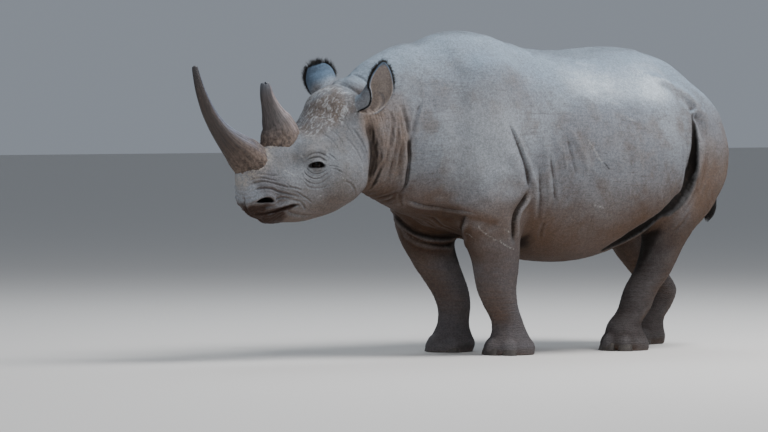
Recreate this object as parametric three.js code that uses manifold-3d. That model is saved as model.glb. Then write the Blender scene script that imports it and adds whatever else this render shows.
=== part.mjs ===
// Black rhinoceros, standing at rest: a still, life-size model.
//
// Units are millimetres, +Z is up. The animal faces -Y and its left side is +X.
// It is shaped round a point on the floor midway between the fore feet, and at the end
// it is moved so that the origin lies under the middle of its bounding box.
//
// The flesh is one closed form: a smooth sum of a few long bodies of oval section
// (barrel, rump, neck, head, four legs) and of rounded muscles. It is meshed on a grid,
// finer where the form is finer, and then parted into nodes by thin straight cuts.
// Ears, horns and tail are lofts. Eyes, nails and horns stand in pockets of the flesh.

import * as THREE from 'three';
import { mergeVertices } from 'three/addons/utils/BufferGeometryUtils.js';
import { LoftGeometry } from 'three/addons/geometries/LoftGeometry.js';
import Module from 'manifold-3d';

const wasm = await Module();
wasm.setup();

// ---------------------------------------------------------------- driving dimensions

const GAP = 0.3; // clearance between two nodes that touch
const BODY_CELL = 124; // grid of the trunk
const NECK_CELL = 92; // grid of the neck
const LEG_CELL = 63; // grid of the legs
const HEAD_CELL = 48; // grid of the head
const ROUNDS = 4; // times a grid point is drawn towards the surface
// The spaces in which the parts of the flesh are meshed, as low and high corners.
const HEAD_SPACE = [
  [-400, -1650, 600],
  [400, -658, 1500],
];
const NECK_SPACE = [
  [-500, -828, 500],
  [500, -390, 1700],
];
const TRUNK_SPACE = [
  [-700, -510, 300],
  [700, 1600, 1700],
];
// A left leg's space; the right leg's is its mirror image.
const LEG_SPACES = {
  front: [
    [20, -520, -30],
    [640, 200, 840],
  ],
  back: [
    [20, 480, -30],
    [640, 1620, 840],
  ],
};

// Barrel: place along the body, back, belly, half width, height of the widest level.
const BARREL = [
  [-250, 1552, 640, 345, 1030],
  [-80, 1560, 590, 395, 1010],
  [110, 1528, 512, 435, 985],
  [270, 1509, 461, 480, 965],
  [400, 1500, 445, 508, 950],
  [530, 1500, 450, 528, 945],
  [660, 1501, 477, 536, 950],
  [790, 1500, 525, 528, 965],
  [900, 1480, 590, 494, 990],
];
const BARREL_ENDS = [150, 140];
const BARREL_SQUARE = [1.95, 2.35]; // section power above and below the widest level

// Rump: the same five measures.
const RUMP = [
  [560, 1475, 640, 270, 1080],
  [760, 1504, 620, 345, 1080],
  [900, 1510, 620, 388, 1075],
  [1010, 1486, 640, 402, 1060],
  [1120, 1468, 670, 388, 1040],
  [1220, 1402, 715, 336, 1020],
  [1300, 1300, 790, 258, 1000],
];
const RUMP_ENDS = [120, 82];
const RUMP_SQUARE = [1.9, 2.2];

// Neck and withers: the same five measures.
const NECK = [
  [-860, 1310, 880, 158, 1110],
  [-790, 1368, 840, 180, 1100],
  [-700, 1436, 800, 208, 1085],
  [-600, 1485, 756, 236, 1070],
  [-500, 1520, 712, 266, 1055],
  [-400, 1533, 680, 300, 1045],
  [-290, 1566, 655, 332, 1030],
  [-145, 1585, 620, 350, 1010],
  [0, 1567, 600, 350, 1000],
  [120, 1526, 590, 340, 1000],
];
const NECK_ENDS = [120, 200];
const NECK_SQUARE = [1.95, 2.1];

// Head, in its own frame: u runs forward along the head, v up across it.
const HEAD_PIVOT = [-830, 1085]; // y and z of the head's own origin, near the nape
const HEAD_PITCH = THREE.MathUtils.degToRad(27); // nose down
// Place along the head, top, bottom, half width, level of the widest place.
const HEAD = [
  [-120, 224, -165, 136, 50],
  [-30, 242, -218, 154, 30],
  [60, 240, -262, 168, 0],
  [150, 190, -290, 180, -40],
  [240, 150, -292, 180, -55],
  [330, 150, -276, 162, -60],
  [440, 148, -242, 135, -58],
  [530, 138, -196, 118, -45],
  [590, 120, -156, 108, -28],
  [630, 100, -120, 90, -12],
];
const HEAD_ENDS = [90, 38];
const HEAD_SQUARE = [2.2, 2.3];

// Fore leg and hind leg: height, half depth fore and aft, half width.
const FORE_LEG = [
  [0, 118, 112],
  [42, 122, 117],
  [90, 96, 96],
  [135, 80, 80],
  [185, 78, 76],
  [240, 84, 80],
  [310, 96, 90],
  [380, 109, 96],
  [460, 122, 102],
  [540, 141, 110],
  [640, 156, 124],
  [760, 174, 132],
];
const HIND_LEG = [
  [0, 110, 104],
  [42, 115, 110],
  [90, 96, 94],
  [135, 84, 80],
  [185, 80, 76],
  [240, 84, 76],
  [300, 93, 80],
  [360, 102, 84],
  [430, 104, 90],
  [510, 114, 100],
  [590, 140, 118],
  [700, 188, 138],
  [850, 228, 148],
  [980, 238, 150],
];

const LEG_SQUARE = 2.15; // section power of every leg

// Where each leg stands: height, then the place of its middle fore and aft, and sideways.
const STANCE = {
  front_left: [
    [0, 32, 205],
    [90, 30, 205],
    [170, 12, 205],
    [240, -26, 207],
    [320, -55, 212],
    [460, -72, 222],
    [560, -98, 232],
    [760, -120, 240],
  ],
  front_right: [
    [0, -32, -200],
    [90, -12, -202],
    [200, 2, -204],
    [270, -8, -206],
    [330, -34, -212],
    [440, -98, -222],
    [560, -146, -232],
    [760, -166, -240],
  ],
  back_left: [
    [0, 765, 222],
    [70, 752, 222],
    [130, 750, 222],
    [200, 808, 222],
    [300, 858, 224],
    [390, 925, 228],
    [500, 978, 236],
    [620, 1030, 244],
    [740, 1085, 240],
    [860, 1130, 232],
    [980, 1140, 225],
  ],
  back_right: [
    [0, 1235, -215],
    [70, 1240, -215],
    [130, 1268, -216],
    [200, 1330, -218],
    [280, 1350, -220],
    [360, 1288, -226],
    [440, 1218, -234],
    [540, 1158, -242],
    [680, 1130, -244],
    [860, 1135, -234],
    [980, 1140, -225],
  ],
};

// Muscles: rounded masses, mirrored to both sides. Centre, half sizes (x, y, z),
// tilt about the side-to-side axis in degrees (nose-down positive).
const BODY_MUSCLES = [
  { at: [262, -95, 1060], size: [150, 225, 400], tilt: -8 }, // shoulder blade and its cover
  { at: [250, -130, 790], size: [142, 190, 210], tilt: -12 }, // upper arm
  { at: [236, 1094, 925], size: [140, 272, 345], tilt: 14 }, // thigh
  { at: [194, 1164, 1050], size: [148, 188, 244], tilt: 10 }, // haunch
];

// Muscles of the head, in its own frame (x, u, v).
const HEAD_MUSCLES = [
  { at: [112, 175, -110], size: [86, 150, 150] }, // cheek
  { at: [108, 285, 62], size: [58, 92, 52] }, // brow over the eye
  { at: [84, 0, 150], size: [76, 90, 80] }, // temple and ear root
  { at: [58, 600, -22], size: [54, 62, 60] }, // nostril wing
  { at: [96, 430, -30], size: [50, 120, 62] }, // bar of the cheekbone
];
const HORN_BOSS = [
  { at: [0, 545, 92], size: [96, 112, 88] }, // under the front horn
  { at: [0, 365, 88], size: [86, 120, 88] }, // under the rear horn
];
const LIP = { at: [0, 646, -50], size: [44, 38, 50] }; // hooked upper lip
const CHIN = { at: [0, 545, -134], size: [58, 80, 44] }; // lower lip and chin

// Smooth-sum widths: how softly two forms run into each other.
const SOFT = { body: 110, rump: 70, muscle: 90, leg: 60, head: 60, feature: 34 };

const EYE = { at: [150, 312, 2], radius: 26 };
const NOSTRIL = { at: [102, 612, -16], size: [24, 34, 15], turn: -38 };

// Horns: points of the middle line (y, z), and at each the half depth and half width.
const FRONT_HORN = {
  line: [
    [-1384, 958],
    [-1424, 992],
    [-1473, 1030],
    [-1521, 1068],
    [-1564, 1109],
    [-1602, 1155],
    [-1634, 1204],
    [-1660, 1256],
    [-1682, 1308],
    [-1699, 1362],
    [-1711, 1412],
    [-1713, 1422],
  ],
  depth: [92, 88, 73, 58, 47, 39, 34, 29, 24, 19, 15, 7],
  width: [78, 75, 63, 50, 41, 34, 30, 26, 22, 18, 14, 6],
};
const REAR_HORN = {
  line: [
    [-1208, 1020],
    [-1213, 1062],
    [-1219, 1098],
    [-1231, 1136],
    [-1247, 1167],
    [-1261, 1199],
    [-1275, 1233],
    [-1297, 1302],
    [-1303, 1332],
    [-1304, 1344],
  ],
  depth: [84, 97, 100, 88, 72, 57, 46, 32, 24, 10],
  width: [52, 60, 61, 54, 45, 37, 30, 21, 16, 6],
};

// Ears: cups on short tubes. The left one is turned out, its slit winding down to the
// root; the right one is turned back. Each has its middle line from root to tip (given
// for a left ear), the ways its opening faces from root to tip, and its sections:
// place (0..1), half width, half opening of the tube in degrees, depth ratio.
const EARS = {
  left: {
    side: 1,
    line: [
      [88, -891, 1216],
      [128, -848, 1223],
      [165, -806, 1240],
      [197, -774, 1288],
      [216, -767, 1355],
      [226, -765, 1413],
      [229, -765, 1440],
    ],
    faces: [
      [0.5, -0.3, -0.85],
      [0.8, 0.1, -0.6],
      [1, -0.02, -0.3],
      [0.99, -0.1, -0.15],
    ],
    sections: [
      [0, 46, 168, 1],
      [0.14, 50, 160, 1],
      [0.27, 60, 148, 0.95],
      [0.4, 72, 132, 0.85],
      [0.52, 79, 112, 0.78],
      [0.64, 77, 97, 0.72],
      [0.76, 67, 88, 0.62],
      [0.87, 50, 80, 0.55],
      [0.95, 31, 74, 0.5],
      [1, 12, 70, 0.5],
    ],
  },
  right: {
    side: -1,
    line: [
      [88, -869, 1239],
      [130, -850, 1278],
      [170, -836, 1322],
      [205, -825, 1370],
      [222, -831, 1418],
      [228, -836, 1446],
    ],
    faces: [
      [0.74, 0.66, -0.1],
      [0.74, 0.66, -0.1],
    ],
    sections: [
      [0, 44, 168, 1],
      [0.12, 46, 160, 1],
      [0.24, 53, 142, 0.95],
      [0.36, 64, 120, 0.85],
      [0.5, 74, 102, 0.75],
      [0.64, 79, 91, 0.65],
      [0.77, 76, 83, 0.55],
      [0.88, 64, 76, 0.5],
      [0.96, 44, 72, 0.5],
      [1, 18, 70, 0.5],
    ],
  },
};
const EAR_WALL = 15;
const THIN_WALL = 0.6; // near the tip the wall is this share of the half width
const EAR_STEPS = 6; // facets of the cup across its opening

// Facets round the horns, tail and tuft, and round the eyes, nails and nostrils.
const HORN_SIDES = 12;
const TAIL_SIDES = 8;
const TUFT_SIDES = 8;
const EYE_SIDES = 8;
const NAIL_SIDES = 8;

// Tail: middle line (y, z and how far it swings to the left) down from the rump, with half
// thickness, then the tuft.
const TAIL = {
  line: [
    [1300, 1284],
    [1366, 1254],
    [1414, 1206, 4],
    [1445, 1138, 14],
    [1462, 1056, 30],
    [1468, 966, 48],
    [1466, 880, 64],
    [1460, 800, 75],
  ],
  radius: [54, 44, 37, 32, 27, 23, 20, 17],
};
const TUFT = {
  line: [
    [1460, 799.5, 75],
    [1457, 765, 76],
    [1455, 726, 68],
    [1452, 690, 50],
    [1448, 655, 30],
    [1444, 632, 18],
  ],
  radius: [17, 23, 27, 25, 16, 6],
};

// Nails of each foot: turn from straight ahead in degrees, half width, height.
const NAILS = [
  { name: 'inner', turn: -52, width: 36, height: 52 },
  { name: 'middle', turn: 0, width: 50, height: 60 },
  { name: 'outer', turn: 52, width: 36, height: 52 },
];
const NAIL_DEPTH = 26; // half depth of a nail
const NAIL_LEVEL = 0.28; // height of a nail's middle, as a share of its height
const FOOT_REACH = 0.93; // how far out of the foot's middle a nail's centre lies

// Partings, as outlines in side view (y, z).
const FACE_BACK = [-848, -548]; // head and neck: y at the floor and at the far height
const NECK_BACK = -450; // neck and trunk
const FAR = 3000; // well outside the animal
const FORE_CUT = [
  [-445, 0],
  [-445, 715],
  [90, 590],
  [120, 478],
  [200, 420],
  [200, 0],
];
const HIND_CUT = [
  [540, 0],
  [560, 120],
  [812, 600],
  [1400, 770],
  [1700, 770],
  [1700, 0],
];
const LEG_INSIDE = 55; // a leg's node starts this far from the mid-plane
const LEG_OUTSIDE = 700; // and ends beyond the widest place of the animal
const LEG_FRONT = 300; // depth of the front part of a leg's cut, which grows forward
const ANKLE = 138; // top of the foot's node
const KNEES = { front: 395, back: 385 }; // top of the lower leg's node
// Mouth: the lower jaw lies below this line and before its last point, the corner of
// the mouth, in the head's frame (u, v).
const MOUTH = [
  [790, -66],
  [650, -90],
  [468, -134],
];
const JAW_FLOOR = -400; // v below the whole jaw

// ---------------------------------------------------------------- curves and forms

// A smooth curve through a column of a table, as a function of the first column.
function through(table, column) {
  const last = table.length - 1;
  const slopes = table.map((row, i) => {
    const before = table[Math.max(i - 1, 0)];
    const after = table[Math.min(i + 1, last)];
    return (after[column] - before[column]) / (after[0] - before[0]);
  });
  return (t) => {
    let i = 0;
    while (i < last - 1 && t > table[i + 1][0]) i += 1;
    const span = table[i + 1][0] - table[i][0];
    const s = Math.min(Math.max((t - table[i][0]) / span, 0), 1);
    const a = 2 * s ** 3 - 3 * s ** 2 + 1;
    const b = s ** 3 - 2 * s ** 2 + s;
    const c = 3 * s ** 2 - 2 * s ** 3;
    const d = s ** 3 - s ** 2;
    const ends = a * table[i][column] + c * table[i + 1][column];
    return ends + span * (b * slopes[i] + d * slopes[i + 1]);
  };
}

// Signed distance, measured through the middle, of a section with half sizes a and b.
function ovalDistance(across, upward, beyond, a, b, power) {
  const section = ((Math.abs(across) / a) ** power + (Math.abs(upward) / b) ** power) ** (1 / power);
  const gauge = Math.hypot(section, beyond);
  const reach = Math.hypot(across, upward, beyond * Math.min(a, b));
  return gauge < 1e-4 ? -Math.min(a, b) : reach * (1 - 1 / gauge);
}

// How far a place lies beyond either end, as a share of that end's roundness.
function beyondEnds(t, first, last, ends) {
  if (t < first) return (first - t) / ends[0];
  return t > last ? (t - last) / ends[1] : 0;
}

// A long body, symmetrical left and right, given by its table of sections.
function longBody(table, ends, square) {
  const [top, bottom, half, level] = [1, 2, 3, 4].map((column) => through(table, column));
  const [first, last] = [table[0][0], table[table.length - 1][0]];
  return (x, t, h) => {
    const middle = level(t);
    const up = h > middle;
    const reach = up ? top(t) - middle : middle - bottom(t);
    const power = up ? square[0] : square[1];
    return ovalDistance(x, h - middle, beyondEnds(t, first, last, ends), half(t), reach, power);
  };
}

// A leg: the sections come from one table, its middle line from the stance.
function legBody(shape, stance) {
  const [depth, width] = [1, 2].map((column) => through(shape, column));
  const [alongY, alongX] = [1, 2].map((column) => through(stance, column));
  const top = shape[shape.length - 1][0];
  return (x, y, z) => {
    const beyond = z > top ? (z - top) / width(top) : 0;
    return ovalDistance(x - alongX(z), y - alongY(z), beyond, width(z), depth(z), LEG_SQUARE);
  };
}

function roundMass({ at, size, tilt = 0 }) {
  const angle = THREE.MathUtils.degToRad(tilt);
  const [cos, sin] = [Math.cos(angle), Math.sin(angle)];
  return (x, y, z) => {
    const [dx, dy, dz] = [x - at[0], y - at[1], z - at[2]];
    const [ry, rz] = [dy * cos - dz * sin, dy * sin + dz * cos];
    const gauge = Math.hypot(dx / size[0], ry / size[1], rz / size[2]);
    const reach = Math.hypot(dx, dy, dz);
    return gauge < 1e-4 ? -Math.min(...size) : reach * (1 - 1 / gauge);
  };
}

// Smooth sum of two distances.
function melt(a, b, softness) {
  const share = Math.max(softness - Math.abs(a - b), 0) / softness;
  return Math.min(a, b) - (share * share * softness) / 4;
}

// ---------------------------------------------------------------- the flesh

const [pitchCos, pitchSin] = [Math.cos(HEAD_PITCH), Math.sin(HEAD_PITCH)];

// From the animal's frame to the head's (u forward, v up), and back.
function toHead(y, z) {
  const [dy, dz] = [y - HEAD_PIVOT[0], z - HEAD_PIVOT[1]];
  return [-dy * pitchCos - dz * pitchSin, -dy * pitchSin + dz * pitchCos];
}
function fromHead(u, v) {
  return [HEAD_PIVOT[0] - u * pitchCos - v * pitchSin, HEAD_PIVOT[1] - u * pitchSin + v * pitchCos];
}

const barrel = longBody(BARREL, BARREL_ENDS, BARREL_SQUARE);
const rump = longBody(RUMP, RUMP_ENDS, RUMP_SQUARE);
const neck = longBody(NECK, NECK_ENDS, NECK_SQUARE);
const skull = longBody(HEAD, HEAD_ENDS, HEAD_SQUARE);
const bodyMuscles = BODY_MUSCLES.map(roundMass);
const headMuscles = HEAD_MUSCLES.map(roundMass);
const headMiddles = [...HORN_BOSS, LIP, CHIN].map(roundMass);
const legs = Object.entries(STANCE).map(([name, stance]) => ({
  name,
  side: stance[0][2] > 0 ? 1 : -1,
  body: legBody(name.startsWith('front') ? FORE_LEG : HIND_LEG, stance),
}));

function headForm(x, y, z) {
  const [u, v] = toHead(y, z);
  let d = skull(x, u, v);
  for (const muscle of headMuscles) d = melt(d, muscle(Math.abs(x), u, v), SOFT.feature);
  for (const mass of headMiddles) d = melt(d, mass(x, u, v), SOFT.feature);
  return d;
}

function trunkForm(x, y, z) {
  const front = melt(neck(x, y, z), bodyMuscles[0](Math.abs(x), y, z), SOFT.muscle);
  let d = melt(rump(x, y, z), front, SOFT.body);
  for (const muscle of bodyMuscles.slice(1)) d = melt(d, muscle(Math.abs(x), y, z), SOFT.muscle);
  return melt(d, barrel(x, y, z), SOFT.rump);
}

function flesh(x, y, z) {
  let d = trunkForm(x, y, z);
  for (const leg of legs) {
    if (x * leg.side > 0) d = melt(d, leg.body(x, y, z), SOFT.leg);
  }
  return melt(d, headForm(x, y, z), SOFT.head);
}

// ---------------------------------------------------------------- meshes and solids

// Closed surface of a form inside a box of grid cubes: one vertex in every cube that the
// surface crosses, drawn onto the surface itself.
function meshOf(form, low, high, cell) {
  const counts = low.map((value, axis) => Math.ceil((high[axis] - value) / cell) + 4);
  const start = low.map((value) => value - 1.5 * cell);
  const walled = (x, y, z) =>
    Math.max(form(x, y, z), low[0] - x, x - high[0], low[1] - y, y - high[1], low[2] - z, z - high[2]);
  const index = (i, j, k) => (k * counts[1] + j) * counts[0] + i;
  const place = (i, j, k) => [start[0] + i * cell, start[1] + j * cell, start[2] + k * cell];
  const values = new Float64Array(counts[0] * counts[1] * counts[2]);
  for (let k = 0; k < counts[2]; k += 1)
    for (let j = 0; j < counts[1]; j += 1)
      for (let i = 0; i < counts[0]; i += 1) values[index(i, j, k)] = walled(...place(i, j, k));

  const vertexOf = new Map();
  const vertices = [];
  const corners = [0, 1, 2, 3, 4, 5, 6, 7].map((n) => [n & 1, (n >> 1) & 1, n >> 2]);
  const joins = (p, q) => p < q && [1, 2, 4].includes(q - p) && (p & (q - p)) === 0;
  const pairs = corners.flatMap((a, m) => corners.map((b, n) => [m, n]));
  const edges = pairs.filter(([p, q]) => joins(p, q));
  const vertexAt = (i, j, k) => {
    const key = index(i, j, k);
    if (vertexOf.has(key)) return vertexOf.get(key);
    const here = corners.map(([a, b, c]) => values[index(i + a, j + b, k + c)]);
    const sum = new THREE.Vector3();
    let crossings = 0;
    for (const [m, n] of edges) {
      if (here[m] < 0 === here[n] < 0) continue;
      const from = new THREE.Vector3(...corners[m]);
      sum.add(from.lerp(new THREE.Vector3(...corners[n]), here[m] / (here[m] - here[n])));
      crossings += 1;
    }
    const point = sum.multiplyScalar(cell / crossings).add(new THREE.Vector3(...place(i, j, k)));
    drawOnto(walled, point, cell);
    vertexOf.set(key, vertices.length);
    vertices.push(point);
    return vertices.length - 1;
  };

  const triangles = [];
  const steps = [
    [1, 0, 0],
    [0, 1, 0],
    [0, 0, 1],
  ];
  for (let k = 1; k < counts[2] - 1; k += 1)
    for (let j = 1; j < counts[1] - 1; j += 1)
      for (let i = 1; i < counts[0] - 1; i += 1)
        steps.forEach((along, axis) => {
          const inside = values[index(i, j, k)] < 0;
          if (inside === values[index(i + along[0], j + along[1], k + along[2])] < 0) return;
          const [b, c] = [steps[(axis + 1) % 3], steps[(axis + 2) % 3]];
          const quad = [[1, 1], [0, 1], [0, 0], [1, 0]].map(([m, n]) =>
            vertexAt(i - m * b[0] - n * c[0], j - m * b[1] - n * c[1], k - m * b[2] - n * c[2]),
          );
          if (!inside) quad.reverse();
          addQuad(triangles, vertices, quad);
        });
  return solidFrom(vertices, triangles);
}

// Moves a point onto the surface, by at most one cell.
function drawOnto(form, point, cell) {
  const start = point.clone();
  for (let round = 0; round < ROUNDS; round += 1) {
    const d = form(point.x, point.y, point.z);
    const slope = new THREE.Vector3(
      form(point.x + 1, point.y, point.z) - form(point.x - 1, point.y, point.z),
      form(point.x, point.y + 1, point.z) - form(point.x, point.y - 1, point.z),
      form(point.x, point.y, point.z + 1) - form(point.x, point.y, point.z - 1),
    ).multiplyScalar(0.5);
    point.addScaledVector(slope, -d / Math.max(slope.lengthSq(), 0.2));
  }
  const moved = point.clone().sub(start);
  if (moved.length() > cell / 2) point.copy(start.addScaledVector(moved.normalize(), cell / 2));
}

// A quad as two triangles, split along its shorter diagonal.
function addQuad(triangles, vertices, [a, b, c, d]) {
  const short = vertices[a].distanceTo(vertices[c]) < vertices[b].distanceTo(vertices[d]);
  if (short) triangles.push(a, b, c, a, c, d);
  else triangles.push(a, b, d, b, c, d);
}

function solidFrom(vertices, triangles) {
  const vertProperties = new Float32Array(vertices.flatMap((v) => [v.x, v.y, v.z]));
  const triVerts = new Uint32Array(triangles);
  return new wasm.Manifold(new wasm.Mesh({ numProp: 3, vertProperties, triVerts }));
}

// The solid of a closed three.js geometry.
function solidOf(geometry) {
  const bare = new THREE.BufferGeometry();
  bare.setAttribute('position', geometry.attributes.position);
  bare.setIndex(geometry.index);
  const merged = mergeVertices(bare, 1e-3);
  const vertProperties = new Float32Array(merged.attributes.position.array);
  const triVerts = new Uint32Array(merged.index.array);
  return new wasm.Manifold(new wasm.Mesh({ numProp: 3, vertProperties, triVerts }));
}

// An outline in side view, carried straight across from x0 to x1.
function slab(outline, x0, x1) {
  const shape = new THREE.Shape(outline.map(([y, z]) => new THREE.Vector2(y, z)));
  const geometry = new THREE.ExtrudeGeometry(shape, { depth: x1 - x0, bevelEnabled: false });
  const toSideView = new THREE.Matrix4().makeBasis(
    new THREE.Vector3(0, 1, 0),
    new THREE.Vector3(0, 0, 1),
    new THREE.Vector3(1, 0, 0),
  );
  return solidOf(geometry.applyMatrix4(toSideView).translate(x0, 0, 0));
}

function boxOf(y0, y1, z0, z1) {
  return [
    [y0, z0],
    [y0, z1],
    [y1, z1],
    [y1, z0],
  ];
}

// From floor to far height between two walls, each given by its y at the bottom and at the top.
function leaningBox(front, back) {
  return [
    [front[0], 0],
    [front[1], FAR],
    [back[1], FAR],
    [back[0], 0],
  ];
}

// ---------------------------------------------------------------- lofts

// Directions of a curved middle line in the mid-plane, at each of its points.
function directions(line) {
  return line.map((point, i) => {
    const before = line[Math.max(i - 1, 0)];
    const after = line[Math.min(i + 1, line.length - 1)];
    return new THREE.Vector2(after[0] - before[0], after[1] - before[1]).normalize();
  });
}

// A grown copy is longer at both ends.
function endShift(i, count, grow) {
  if (i === 0) return -grow;
  return i === count - 1 ? grow : 0;
}

// A tapering rod of oval section round a middle line: y, z and a swing to the left.
function rod(line, depth, width, sides, grow = 0) {
  const ways = directions(line);
  const sections = line.map(([y, z, swing = 0], i) =>
    Array.from({ length: sides }, (_, n) => {
      const turn = (n / sides) * 2 * Math.PI;
      const out = (depth[i] + grow) * Math.cos(turn);
      const back = endShift(i, line.length, grow);
      const x = swing - (width[i] + grow) * Math.sin(turn);
      const { x: alongY, y: alongZ } = ways[i];
      return new THREE.Vector3(x, y + alongZ * out + alongY * back, z - alongY * out + alongZ * back);
    }),
  );
  return solidOf(new LoftGeometry(sections, { capStart: true, capEnd: true }));
}

// A direction that changes evenly along a list of directions, at a place from 0 to 1.
function wayAt(ways, place) {
  const at = place * (ways.length - 1);
  const first = Math.min(Math.floor(at), ways.length - 2);
  const next = new THREE.Vector3(...ways[first + 1]);
  return new THREE.Vector3(...ways[first]).lerp(next, at - first);
}

// One ear: a cup of even wall, as horseshoe sections strung from root to tip. Its pocket
// in the head is the same shape grown a little and filled, which leaves the ear hole open.
function ear({ side, line, faces, sections }, grow = 0) {
  const middle = new THREE.CatmullRomCurve3(line.map((point) => new THREE.Vector3(...point)));
  const rings = sections.map(([place, half, opening, flat], i) => {
    const along = middle.getTangentAt(place);
    const centre = middle.getPointAt(place);
    centre.addScaledVector(along, endShift(i, sections.length, grow));
    const facing = wayAt(faces, place);
    facing.addScaledVector(along, -facing.dot(along)).normalize();
    const across = new THREE.Vector3().crossVectors(along, facing);
    const reach = THREE.MathUtils.degToRad(opening);
    const wall = Math.min(EAR_WALL, half * THIN_WALL);
    const point = (turn, radius) => {
      const at = centre.clone().addScaledVector(across, radius * Math.sin(turn));
      at.addScaledVector(facing, -radius * Math.cos(turn) * flat);
      return new THREE.Vector3(at.x * side, at.y, at.z);
    };
    const turns = Array.from({ length: EAR_STEPS + 1 }, (_, n) => reach * ((2 * n) / EAR_STEPS - 1));
    const arc = (radius, way) => turns.map((turn) => point(way * turn, radius));
    const ring = grow > 0 ? arc(half + grow, 1) : [...arc(half, 1), ...arc(half - wall, -1)];
    return side > 0 ? ring.reverse() : ring;
  });
  return solidOf(new LoftGeometry(rings, { capStart: true, capEnd: true }));
}

// A ball or an egg, in its own place.
function egg(at, size, sides) {
  const geometry = new THREE.SphereGeometry(1, sides, Math.ceil(sides / 2) + 1);
  return { geometry: geometry.rotateX(Math.PI / 2).scale(...size), at };
}
function eggSolid({ geometry, at }) {
  return solidOf(geometry.clone().translate(...at));
}

// ---------------------------------------------------------------- materials

function material(color, roughness) {
  return new THREE.MeshStandardMaterial({ color, roughness, metalness: 0 });
}
const skinPaint = () => material(0x828486, 0.85);
const legPaint = () => material(0x56565a, 0.85);
const earPaint = () => material(0x6b7680, 0.85);
const hornPaint = () => material(0x4c4a4c, 0.55);
const eyePaint = () => material(0x120e0c, 0.12);
const nailPaint = () => material(0x2e2c2c, 0.5);
const hairPaint = () => material(0x1c1a1a, 0.9);

// ---------------------------------------------------------------- the animal

const animal = new THREE.Group();

function add(name, solid, paint) {
  const { vertProperties, triVerts } = solid.getMesh();
  const geometry = new THREE.BufferGeometry();
  geometry.setAttribute('position', new THREE.BufferAttribute(new Float32Array(vertProperties), 3));
  geometry.setIndex(new THREE.BufferAttribute(new Uint32Array(triVerts), 1));
  geometry.computeVertexNormals();
  const mesh = new THREE.Mesh(geometry, paint);
  mesh.name = name;
  animal.add(mesh);
  return mesh;
}

const earPockets = Object.values(EARS).map((shape) => ear(shape, 2 * GAP));

function addEars() {
  for (const [name, shape] of Object.entries(EARS)) add(`ear_${name}`, ear(shape), earPaint());
}

function addHorns() {
  const horns = { horn_front: FRONT_HORN, horn_rear: REAR_HORN };
  return Object.entries(horns).map(([name, { line, depth, width }]) => {
    add(name, rod(line, depth, width, HORN_SIDES), hornPaint());
    return rod(line, depth, width, HORN_SIDES, GAP);
  });
}

function addEyes() {
  const [y, z] = fromHead(EYE.at[1], EYE.at[2]);
  return ['left', 'right'].map((name, i) => {
    const at = [EYE.at[0] * (1 - 2 * i), y, z];
    const ball = (radius) => eggSolid(egg(at, [radius, radius, radius], EYE_SIDES));
    add(`eye_${name}`, ball(EYE.radius), eyePaint());
    return ball(EYE.radius + 2 * GAP);
  });
}

function nostrils() {
  const [y, z] = fromHead(NOSTRIL.at[1], NOSTRIL.at[2]);
  return [1, -1].map((side) => {
    const { geometry } = egg([0, 0, 0], NOSTRIL.size, NAIL_SIDES);
    geometry.rotateX(THREE.MathUtils.degToRad(NOSTRIL.turn));
    return solidOf(geometry.translate(NOSTRIL.at[0] * side, y, z));
  });
}

// The block of space that belongs to the lower jaw, grown by the gap above and behind.
function jawSlab(grow) {
  const [front, corner] = [MOUTH[0], MOUTH[MOUTH.length - 1]];
  const line = MOUTH.map(([u, v]) => [u, v + grow]);
  line[line.length - 1][0] -= grow;
  const outline = [...line, [corner[0] - grow, JAW_FLOOR], [front[0], JAW_FLOOR]];
  return slab(outline.map(([u, v]) => fromHead(u, v)).reverse(), -FAR, FAR);
}

function addHead() {
  addEars();
  const pockets = [...earPockets, ...addHorns(), ...addEyes(), ...nostrils()];
  const block = meshOf(flesh, ...HEAD_SPACE, HEAD_CELL);
  let head = block.intersect(slab(leaningBox([-FAR, -FAR], FACE_BACK), -FAR, FAR));
  for (const pocket of pockets) head = head.subtract(pocket);
  add('head', head.subtract(jawSlab(GAP)), skinPaint());
  add('lower_jaw', head.intersect(jawSlab(0)), skinPaint());
}

function addNeck() {
  const block = meshOf(flesh, ...NECK_SPACE, NECK_CELL);
  const front = FACE_BACK.map((y) => y + GAP);
  let neck = block.intersect(slab(leaningBox(front, [NECK_BACK, NECK_BACK]), -FAR, FAR));
  for (const pocket of earPockets) neck = neck.subtract(pocket);
  add('neck', neck, skinPaint());
}

function addTrunkAndTail() {
  const radius = TAIL.radius;
  add('tail', rod(TAIL.line, radius, radius, TAIL_SIDES), skinPaint());
  add('tail_tuft', rod(TUFT.line, TUFT.radius, TUFT.radius, TUFT_SIDES), hairPaint());
  let trunk = meshOf(flesh, ...TRUNK_SPACE, BODY_CELL);
  trunk = trunk.intersect(slab(boxOf(NECK_BACK + GAP, FAR, 0, FAR), -FAR, FAR));
  trunk = trunk.subtract(rod(TAIL.line, radius, radius, TAIL_SIDES, GAP));
  for (const side of [1, -1])
    for (const cut of [FORE_CUT, HIND_CUT]) trunk = trunk.subtract(legSlab(cut, side, GAP));
  add('trunk', trunk, skinPaint());
}

// The block of space that belongs to one leg, grown by the gap where it cuts the trunk.
function legSlab(cut, side, grow) {
  const outline = cut.map(([y, z]) => [y < cut[0][0] + LEG_FRONT ? y - grow : y + grow, z + grow]);
  const [near, far] = [LEG_INSIDE - grow, LEG_OUTSIDE];
  return side > 0 ? slab(outline.reverse(), near, far) : slab(outline.reverse(), -far, -near);
}

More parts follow.
